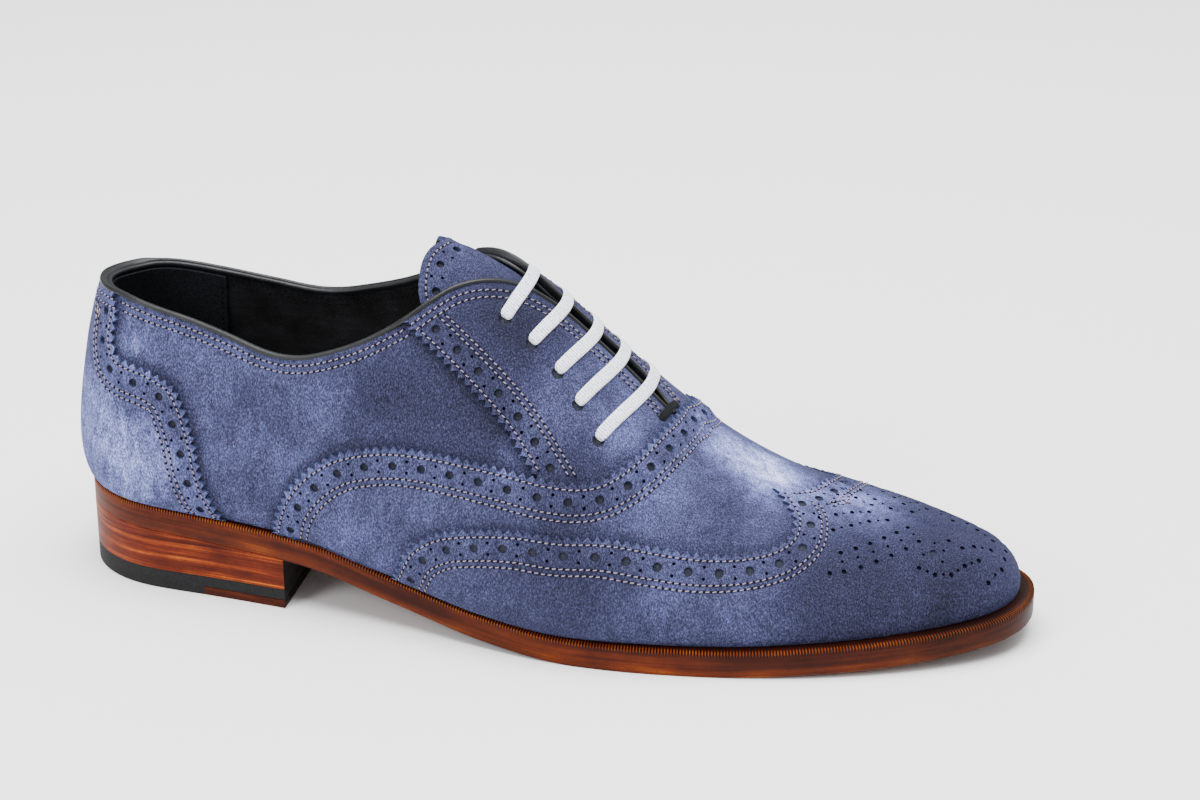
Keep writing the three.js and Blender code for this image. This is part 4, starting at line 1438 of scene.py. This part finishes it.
def make_eyestays():
    """The lace facings, with their lower ends under the vamp."""
    for name, side, line, vamp, edge, low in (
            ("lateral", 1, eyestay_line, vamp_line, rim, rim_low),
            ("medial", -1, far_side(eyestay_line), vamp_line[::-1], far_rim, far_rim_low)):
        step, wall, meet = crossing(line, low)
        line = after(line, step, meet)
        under_vamp = beside(vamp, -FACING_LAP, side)
        low_step, low_wall, low_meet = crossing(line, under_vamp)
        teeth = pinked(before(line, low_step, low_meet), -side)
        foot = resample(after(under_vamp, low_wall, low_meet), GRAIN_SPACING)
        facing = resample(low[wall + 1:], GRAIN_SPACING)
        foot, facing = foot[clear_of_middle(foot)], facing[clear_of_middle(facing)]
        outline = joined(teeth, foot, facing[::-1])
        stop = moved_line(edge, -COLLAR_CLEAR * side)
        cover = beside(vamp, 1.0, side)
        holes = until(since(moved_line(line, PUNCH_ROW * side), stop), cover)
        eyelets = eyelet_pits() if side > 0 else pits_over_ridge(eyelet_pits())
        rows = [
            until(since(moved_line(line, offset * side), stop), cover) for offset in (EDGE_ROW, *DOUBLE_ROWS)]
        first = moved_line(line, 0.3 * side)
        rows += [until(since(collar_row(edge, drop, side), first), cover) for drop in COLLAR_ROWS]
        for row in rows:
            upper_sewing.sew(row, OVERLAY_OUT)
        piece = leather_panel(
            f"eyestay_panel_{name}", outline, "ridge", pits=brogue_punches(holes, inset=3.0) + eyelets,
            rows=stitch_places(rows), under=(vamp_line,), edge=line)
        ride(piece, "suede", f"eyestay_{name}")


def collar_row(edge, drop, side):
    """A seam under the collar. On the facings it lies further from the edge, most of all on the inner one."""
    row = beside(edge, -drop, side)
    further = (FACING_EXTRA if side > 0 else FAR_FACING_EXTRA) / (1 + np.exp((6.4 - row[:, 0]) / 0.2))
    upward = np.linalg.norm(slopes(*row.T)[1], axis=-1)
    return row - np.column_stack([np.zeros(len(row)), side * further / upward])


def clear_of_middle(line):
    return np.abs(line[:, 1] - middle(line[:, 0])) > 0.015


def collar_stitching():
    """Two rows under the binding, from the heel to the eyestays, outside and inside."""
    end = np.array([[8.35, 0.5], [8.35, 1.5]])
    for side, edge, counter, eyestay in (
            (1, rim, counter_line, eyestay_line),
            (-1, far_rim, far_side(counter_line), far_side(eyestay_line))):
        counter_cover = moved_line(counter, 0.5 * side)
        for drop in COLLAR_ROWS:
            row = collar_row(edge, drop, side)
            on_quarter = until(since(row, counter_cover), eyestay)
            for part, layer in ((until(row, counter_cover), OVERLAY_OUT), (on_quarter, QUARTER_OUT)):
                upper_sewing.sew(part, layer)
            lining_sewing.sew(until(row, end), LINING_IN, flip=True)


def make_heel_grip():
    """Black suede inside the back, sewn over the lining."""
    edge = moved_line(rim, -GRIP_DROP)
    edge = resample(edge[edge[:, 0] < GRIP_TURN], GRAIN_SPACING)
    front = straight((GRIP_TURN, GRIP_FOOT), edge[-1], 2.5)
    foot = straight((0, GRIP_FOOT), (GRIP_TURN, GRIP_FOOT), 3.0)
    sides = front[::-1], foot[::-1], round_heel(foot)[::-1][1:], round_heel(front)[::-1]
    outline = joined(round_heel(edge)[:-1], edge, *sides)
    grip = leather_panel(
        "heel_grip", outline, "heel", [GRIP, GRIP, GRIP], outer=LINING_IN + 0.1, inner=LINING_IN - GRIP_STEP,
        spacing=HIDDEN_SPACING)
    ride(grip, "lining")
    seam = moved_line(front, GRIP_SEAM)
    for part in (seam, round_heel(seam)):
        lining_sewing.sew(part, LINING_IN - GRIP_STEP, flip=True)


def make_tongue():
    """The suede tongue, lined with leather."""
    line = resample(tongue_line, GRAIN_SPACING)
    root = straight(TONGUE_EDGE[0], (TONGUE_EDGE[0][0], 1), 2.5)
    outline = joined(line, plain_twin(line), plain_twin(root), root[::-1])
    top = until(tongue_line[::-1], np.array([[6.75, 0.4], [6.75, 0.8]]))[::-1]
    row = kept_run(moved_line(top, -TONGUE_SEAM))
    holes = kept_run(moved_line(top, -TONGUE_PUNCHES))
    pits = brogue_punches(holes, 2.0)
    tongue_sewing = Sewing()
    for part in (row, plain_twin(row)):
        tongue_sewing.sew(part, TONGUE_OUT)
    far_pits = [(turn, 2 - up, width, sides) for turn, up, width, sides in pits]
    tongue = leather_panel(
        "tongue_leather", outline, "ridge", SUEDE_PANEL + [LINING], pits=pits + far_pits,
        outer=TONGUE_OUT, inner=TONGUE_IN, under_kind=4)
    ride(tongue, "suede", "tongue")
    for piece in tongue_sewing.pieces("tongue", THREAD, NEEDLE_HOLE_SHADE):
        ride(piece, "thread")


def swept(centres, across, through, profile, closed=False):
    """A tube along a path. across and through span its section, profile is its outline in them."""
    centres, across, through = (np.asarray(a, float) for a in (centres, across, through))
    profile = np.asarray(profile, float)
    if profile.ndim == 2:
        profile = np.broadcast_to(profile, (len(centres), *profile.shape))
    rings = centres[:, None] + across[:, None] * profile[..., :1] + through[:, None] * profile[..., 1:]
    count, sides = rings.shape[:2]
    faces = []
    for i in range(count if closed else count - 1):
        for k in range(sides):
            a, b = i * sides + k, i * sides + (k + 1) % sides
            c, d = ((i + 1) % count) * sides + (k + 1) % sides, ((i + 1) % count) * sides + k
            faces.append((a, b, c, d))
    if not closed:
        faces.append(tuple(range(sides))[::-1])
        faces.append(tuple((count - 1) * sides + k for k in range(sides)))
    return rings.reshape(-1, 3), faces


def turned_out(piece):
    """Faces outwards, for a closed tube or plate whose doubles are merged already."""
    select_only(piece)
    bpy.ops.object.mode_set(mode="EDIT")
    bpy.ops.mesh.select_all(action="SELECT")
    bpy.ops.mesh.normals_make_consistent(inside=False)
    bpy.ops.object.mode_set(mode="OBJECT")
    return piece


def overlay_under(turn):
    """How thick the leather is under the binding: more where the counter and the eyestays reach it."""
    turn = np.abs(turn)
    counter = 1 / (1 + np.exp((turn - 1.36) / 0.1))
    eyestay = 1 / (1 + np.exp((5.6 - turn) / 0.03))
    return (counter + eyestay) * OVERLAY_OUT


def make_binding():
    """The rolled leather edge round the collar and both facings."""
    inner = np.column_stack([-far_rim[:, 0], 2 - far_rim[:, 1]])[::-1]
    line = resample(np.vstack([inner[:-1], rim]), 1.2)
    turn, up = line.T
    normal = outward(turn, up)
    ahead = headings(line)
    rise = np.cross(normal, ahead)
    lift = overlay_under(turn)
    lobes = (
        (0.05, -1.4), (0.35, -1.25), (0.48, -0.8), (0.42, -0.3), (0.2, 0.0), (-0.1, 0.1), (-0.5, 0.04),
        (-0.75, -0.16), (-0.86, -0.36), (-0.97, -0.16), (-1.3, 0.04), (-1.8, 0.0), (-2.2, -0.3),
        (-2.36, -0.8), (-2.3, -1.7), (-2.0, -2.05), (-1.0, -1.6),
    )
    profile = np.broadcast_to(np.array(lobes), (len(line), len(lobes), 2)).copy()
    profile[..., 0] += lift[:, None] * np.clip((profile[..., 0] + 0.9) / 0.9, 0, 1)
    points, faces = swept(last_point(turn, up), normal, rise, profile)
    piece = turned_out(mesh_piece("collar_piping", points, faces, [BINDING], smooth=60))
    ride(piece, "binding", "collar_binding")


def ribbon(centres, beside, width, thickness, sides=12):
    """A flat soft lace: its section is a rounded oblong that lies across its way."""
    centres = np.asarray(centres, float)
    ahead = unit(np.gradient(centres, axis=0))
    across = unit(beside - ahead * (beside * ahead).sum(-1, keepdims=True))
    through = np.cross(ahead, across)
    angle = np.linspace(0, 2 * math.pi, sides, endpoint=False)
    flat = np.sign(np.cos(angle)) * np.abs(np.cos(angle)) ** 0.6
    high = np.sign(np.sin(angle)) * np.abs(np.sin(angle)) ** 0.75
    width, thickness = np.asarray(width)[:, None], np.asarray(thickness)[:, None]
    return swept(centres, across, through, np.stack([flat * width / 2, high * thickness / 2], -1))


def lace_bar(turn, up, lead):
    """Up through one eyelet, over both facings and the gap between them, and down through the other."""
    half = np.concatenate([np.full(9, 1.0), np.linspace(1.0, 0.0, 24)[1:]])
    share = np.concatenate([half, -half[::-1][1:]])
    dip = np.concatenate([np.linspace(1, 0, 10)[:-1], np.zeros(23)])
    dip = np.concatenate([dip, dip[::-1][1:]])
    turns = turn + lead * np.sin((1 - np.abs(share)) * math.pi / 2)
    far_up = 2 - float(inner_up(turn, up))
    ups = (up + far_up) / 2 - share * (far_up - up) / 2
    arch = np.clip((1 - np.abs(share)) * 6, 0, 1)
    layer = LACE_MIDDLE - 0.5 + 0.5 * arch - dip * (LACE_MIDDLE + 1.9)
    centres = place(turns, ups, layer)
    normal = outward(turns, ups)
    toward = np.gradient(last_point(turns, ups), axis=0)
    toward[:9] = toward[10]
    toward[-9:] = toward[-11]
    toward = unit(toward)
    beside = np.cross(normal, toward)
    # The lace leans into the hole as it goes down, so that it turns over a soft edge
    centres = centres + toward * (np.where(share > 0, 1, -1) * (1 - np.cos(dip * math.pi / 2)) * 0.9)[:, None]
    width = LACE_WIDTH * (1 - 0.36 * np.clip(dip * 3, 0, 1) - 0.06 * np.clip(np.abs(share) * 3 - 2, 0, 1))
    thickness = LACE_THICKNESS * (1 + 0.1 * np.clip(dip * 3, 0, 1)) * np.clip(1.25 - dip, 0.4, 1)
    return ribbon(centres, beside, width, thickness)


def lace_inside(side):
    """The lace's way from eyelet to eyelet between the lining and the tongue."""
    eyelets = np.array([row[:2] for row in EYELET_ROWS.values()])
    line = resample(smooth_line(eyelets), 2.5)
    if side == "medial":
        line = far_side(line)
    layer = np.full(len(line), (LINING_IN + TONGUE_OUT) / 2)
    normal = outward(*line.T)
    beside = np.cross(normal, headings(line))
    size = np.full(len(line), 1.0)
    return ribbon(place(*line.T, layer), beside, size * LACE_WIDTH, size * HIDDEN_LACE_THICKNESS, 8)


def make_lace():
    """Five bars over the facings and the two runs that hide inside."""
    bars = [lace_bar(*row) for row in EYELET_ROWS.values()]
    hidden = [lace_inside(side) for side in ("lateral", "medial")]
    piece = turned_out(mesh_piece("lace", *gathered(bars + hidden), [COTTON], smooth=80))
    ride(piece, "lace", *[f"lace_bar_{i + 1}" for i in range(len(bars))])


TACK_ENDS = ((8.45, 0.772), (8.64, 0.995))
TACK_THREADS, TACK_THREAD_WIDTH = 5, 0.55


def make_tack():
    """A satin-stitched bar across the throat: threads laid side by side."""
    share = np.linspace(0, 1, 17)
    threads = []
    for k in range(TACK_THREADS):
        off = (k - (TACK_THREADS - 1) / 2) / TACK_THREADS
        ends = np.array(TACK_ENDS)
        line = ends[0] + (ends[1] - ends[0]) * (0.5 + (share - 0.5) * (1 - 0.12 * abs(off)))[:, None]
        line = moved_line(line, -off * TACK_THREADS * TACK_THREAD_WIDTH * 0.85)
        hump = OVERLAY_OUT + 0.45 + 0.3 * math.cos(off * math.pi) - 1.5 * np.abs(2 * share - 1) ** 6
        centres = place(*line.T, hump)
        normal = outward(*line.T)
        across = np.cross(normal, unit(np.gradient(centres, axis=0)))
        size = np.full(len(share), TACK_THREAD_WIDTH)
        threads.append(ribbon(centres, across, size, size, 8))
    piece = turned_out(mesh_piece("throat_bartack", *gathered(threads), [DARK_THREAD], smooth=80))
    ride(piece, "binding", "throat_tack")


# Bottom


def footprint(turn, reach):
    """Places on the floor plan, a distance outside the foot of the upper."""
    turn = np.asarray(turn, float)
    here = section(turn)[..., :2]
    ahead = section(turn + 0.01)[..., :2] - section(turn - 0.01)[..., :2]
    out = unit(np.stack([ahead[..., 1], -ahead[..., 0]], -1))
    return here + out * np.asarray(reach)[..., None]


def welt_edge(turn):
    return footprint(turn, section(turn)[..., EDGE])


def even_turns(low, high, spacing):
    """Sections of the last that lie a real distance apart along the sole's edge."""
    turns = np.linspace(low, high, 3000)
    far = run_lengths(welt_edge(turns))
    count = max(int(round(far[-1] / spacing)), 2)
    return np.interp(np.linspace(0, far[-1], count + 1), far, turns)


def turn_at(length, side):
    """The section where the sole's edge reaches a distance from the heel's back."""
    turns = np.linspace(0, TOE / 2, 4000)
    x = welt_edge(turns if side == "lateral" else ROUND - turns)[:, 0]
    return float(np.interp(length, x, turns))


def cut_plate(name, lateral, medial, bottom, top, materials, across=8, rounding=0.5, height=None):
    """A plate cut to an outline: a grid is laid out as its under side and extruded up to its top."""
    count = len(lateral)
    bpy.ops.object.select_all(action="DESELECT")
    bpy.ops.mesh.primitive_grid_add(x_subdivisions=count - 1, y_subdivisions=across, size=1)
    plate = bpy.context.object
    plate.name = plate.data.name = name
    bpy.ops.object.mode_set(mode="EDIT")
    bpy.ops.mesh.select_all(action="SELECT")
    bpy.ops.mesh.extrude_region_move(TRANSFORM_OT_translate={"value": (0, 0, 1)})
    bpy.ops.object.mode_set(mode="OBJECT")
    co = np.array([v.co for v in plate.data.vertices])
    step = np.rint((co[:, 0] + 0.5) * (count - 1)).astype(int)
    share = co[:, 1] + 0.5
    flat = lateral[step] + (medial[step] - lateral[step]) * share[:, None]
    low = bottom[step] if isinstance(bottom, np.ndarray) else bottom(flat[:, 0])
    z = np.where(co[:, 2] > 0.5, top(flat[:, 0]), low)
    places = in_frame(np.column_stack([flat, z]))
    plate.data.vertices.foreach_set("co", places.astype(np.float32).ravel())
    plate.data.update()
    select_only(plate)
    bpy.ops.object.mode_set(mode="EDIT")
    bpy.ops.mesh.select_all(action="SELECT")
    bpy.ops.mesh.remove_doubles(threshold=1e-6)
    bpy.ops.mesh.normals_make_consistent(inside=False)
    round_lower_rim(plate, rounding)
    bpy.ops.object.mode_set(mode="OBJECT")
    for material in materials:
        plate.data.materials.append(material)
    lay_layers(plate, height or (lambda x, z: z - underside(x)))
    finish_smooth(plate, 35)
    return plate


def round_lower_rim(plate, width):
    """Rounds the edge between a plate's wall and its under side."""
    bpy.ops.mesh.select_mode(type="EDGE")
    bpy.ops.mesh.select_all(action="DESELECT")
    work = bmesh.from_edit_mesh(plate.data)
    for edge in work.edges:
        tilts = sorted(face.normal.z for face in edge.link_faces)
        edge.select_set(len(tilts) == 2 and tilts[0] < -0.7 and abs(tilts[1]) < 0.3)
    bmesh.update_edit_mesh(plate.data)
    bpy.ops.mesh.bevel(offset=width / 1000, segments=3, affect="EDGES")


def finish_front_faces(plate, index):
    """Gives the faces that look forward another of the plate's finishes."""
    for face in plate.data.polygons:
        if face.normal.x > 0.9:
            face.material_index = index


def lay_layers(piece, height):
    """Where each point lies in the leather's own layers, in millimetres, for the streaks on the cut edge."""
    x, y, z = own_millimetres(piece.data).T
    store(piece.data, "lie", np.column_stack([x, y, height(x, z)]))


def from_underside(height):
    """A level that runs with the sole's underside, at a height over it."""
    return lambda x: underside(x) + height


def at_height(height):
    """A level that is flat."""
    return lambda x: np.full(x.shape, height)


def make_outsole():
    turns = even_turns(0, TOE, 2.5)
    top = from_underside(SOLE_THICKNESS + CLEARANCE - APART)
    piece = cut_plate(
        "leather_outsole", welt_edge(turns), welt_edge(ROUND - turns), underside, top, [SOLE_LEATHER],
        rounding=0.35)
    ride(piece, "sole_leather", "outsole")


def make_insole():
    turns = even_turns(0, TOE, 5)
    inset = np.full(len(turns), -WELT_LIP - CLEARANCE)
    lateral, medial = footprint(turns, inset), footprint(ROUND - turns, inset)
    floor = SOLE_THICKNESS + CLEARANCE
    piece = cut_plate(
        "insole_sock", lateral, medial, from_underside(floor), from_underside(floor + INSOLE_THICKNESS),
        [LINING], rounding=0.8)
    ride(piece, "lining", "insole")


def heel_sides(start, end, spacing=2.0):
    """Both edges of the heel between two distances from its back."""
    sides = []
    for side in ("lateral", "medial"):
        low = 0.0 if start == 0 else turn_at(start, side)
        turns = np.linspace(0, 1, int((end - start) / spacing) + 2) ** (1.4 if start == 0 else 1.0)
        turns = low + (turn_at(end, side) - low) * turns
        sides.append(welt_edge(turns if side == "lateral" else ROUND - turns))
    return sides


def make_heel():
    lateral, medial = heel_sides(0, HEEL_LENGTH)
    stack = cut_plate(
        "heel_lifts", lateral, medial, at_height(TOP_PIECE), from_underside(-APART),
        [HEEL_LEATHER, FRONT_FACE_FINISH], rounding=0.15, height=lambda x, z: z)
    finish_front_faces(stack, 1)
    ride(stack, "sole_leather", "heel_stack")
    step = HEEL_LENGTH - INSET_LENGTH
    back, front = heel_sides(0, step), heel_sides(step, HEEL_LENGTH)
    lateral, medial = np.vstack([back[0], front[0]]), np.vstack([back[1], front[1]])
    bottom = np.concatenate([np.zeros(len(back[0])), np.full(len(front[0]), INSET_THICKNESS)])
    rubber = cut_plate(
        "rubber_top_piece", lateral, medial, bottom, at_height(TOP_PIECE - APART), [RUBBER], rounding=0.4)
    ride(rubber, "rubber", "heel_rubber")
    inset = cut_plate(
        "leather_top_inset", *front, at_height(0.0), at_height(INSET_THICKNESS - APART),
        [SOLE_LEATHER, FRONT_FACE_FINISH], rounding=0.4)
    finish_front_faces(inset, 1)
    ride(inset, "sole_leather", "heel_inset")


def make_welt():
    """The welt with its fudged edge: a wheel has pressed notches into the top of the rim all round. Painted
    shade darkens the inner half of its top and the notches, and painted highlight lightens the ridges
    between.
    """
    turns = even_turns(0, ROUND, FUDGE_PITCH / 4)[:-1]
    turns = turns[:len(turns) // 4 * 4]
    notch = np.tile([0.0, 0.0, 1.0, 1.0], len(turns) // 4)
    cut = section(turns)
    reach = cut[:, EDGE]
    here = footprint(turns, np.zeros(len(turns)))
    out = unit(footprint(turns, np.ones(len(turns))) - here)
    inner = np.full(len(turns), -WELT_LIP)
    wide = np.clip(reach - 0.3, 0.25, 2.8)
    top = SOLE_EDGE
    profile = np.stack([np.column_stack(np.broadcast_arrays(distance, height)) for distance, height in (
        (inner, top), (reach - wide, top), (reach - wide * 0.45, top - 0.04 - 0.3 * notch),
        (reach - 0.12 - 0.08 * notch, top - 0.28 - 0.35 * notch),
        (reach - 0.22 * notch, top - 0.7 - 0.2 * notch),
        (reach, top - 1.5), (reach, top - WELT_THICKNESS), (inner, top - WELT_THICKNESS),
    )], 1)
    centres = np.column_stack([here, underside(cut[:, FOOT_X])])
    across = np.column_stack([out, np.zeros(len(out))])
    upward = np.broadcast_to([0.0, 0.0, 1.0], centres.shape)
    points, faces = swept(centres, across, upward, profile, closed=True)
    piece = turned_out(mesh_piece("fudged_welt", points, faces, [SOLE_LEATHER], smooth=30))
    lay_layers(piece, lambda x, z: z - underside(x))
    # Painted shade on the inner half of the top and in the notches, painted highlight on the ridges between
    painted_welt_top = np.zeros(profile.shape[:2])
    painted_welt_top[:, 1] = -0.7
    painted_welt_top[:, 2:5] = np.where(notch > 0, -0.8, 0.6)[:, None]
    store(piece.data, "welt_top_light_and_shade", painted_welt_top.ravel())
    ride(piece, "sole_leather", "welt")


for make in (
        make_quarters, make_vamp, make_wing_cap, make_counter, make_eyestays, collar_stitching,
        make_heel_grip, make_tongue, make_binding, make_lace, make_tack, make_outsole, make_insole,
        make_heel, make_welt):
    make()

for piece in upper_sewing.pieces("upper", THREAD, NEEDLE_HOLE_SHADE):
    ride(piece, "thread")
for piece in lining_sewing.pieces("lining", DARK_THREAD, NEEDLE_HOLE_SHADE):
    ride(piece, "lining")

# Camera, light and floor. Angles are in degrees, the target in millimetres and the distance in metres.
CAMERA_AZIMUTH, CAMERA_ELEVATION, CAMERA_DISTANCE, CAMERA_LENS = 11.79, 23.41, 0.88, 84.8
CAMERA_TARGET_X, CAMERA_TARGET_Z = 167.9, 66.47

def make_camera():
    """The photograph's angle: a little in front of the outer side, looking down on it."""
    azimuth, elevation = math.radians(CAMERA_AZIMUTH), math.radians(CAMERA_ELEVATION)
    target = Vector(((CAMERA_TARGET_X - REST_CENTRE) / 1000, 0, CAMERA_TARGET_Z / 1000))
    level = math.cos(elevation)
    back = Vector((math.sin(azimuth) * level, -math.cos(azimuth) * level, math.sin(elevation)))
    data = bpy.data.cameras.new("camera")
    data.lens = CAMERA_LENS
    data.sensor_width = 36
    data.clip_start, data.clip_end = 0.05, 20
    camera = bpy.data.objects.new("camera", data)
    bpy.context.scene.collection.objects.link(camera)
    camera.location = target + back * CAMERA_DISTANCE
    camera.rotation_euler = (-back).to_track_quat("-Z", "Y").to_euler()
    bpy.context.scene.camera = camera


def make_light(name, place_at, target, size, power, colour="ffffff"):
    data = bpy.data.lights.new(name, "AREA")
    data.shape, data.size, data.energy = "DISK", size, power
    data.color = linear(colour)[:3]
    light = bpy.data.objects.new(name, data)
    light.location = place_at
    light.rotation_euler = (Vector(target) - Vector(place_at)).to_track_quat("-Z", "Y").to_euler()
    bpy.context.scene.collection.objects.link(light)


def make_studio():
    bpy.ops.mesh.primitive_plane_add(size=12)
    floor = bpy.context.object
    floor.name = "floor"
    paper, _, _ = new_finish("white_paper", **{
        "Base Color": grey(0.9), "Roughness": 0.9, "Specular IOR Level": 0.1})
    floor.data.materials.append(paper)
    world = bpy.data.worlds.new("studio")
    world.use_nodes = True
    world.node_tree.nodes["Background"].inputs["Color"].default_value = grey(1.0)
    world.node_tree.nodes["Background"].inputs["Strength"].default_value = 0.75
    bpy.context.scene.world = world
    make_light("overhead", (0.1, -0.1, 1.6), (0.12, 0, 0), 1.6, 80)
    make_light("front_left", (-0.9, -1.3, 1.0), (0.1, 0, 0.03), 0.8, 18)
    make_light("back_right", (1.0, 1.2, 1.1), (0.15, 0, 0.03), 1.0, 7)


make_camera()
make_studio()
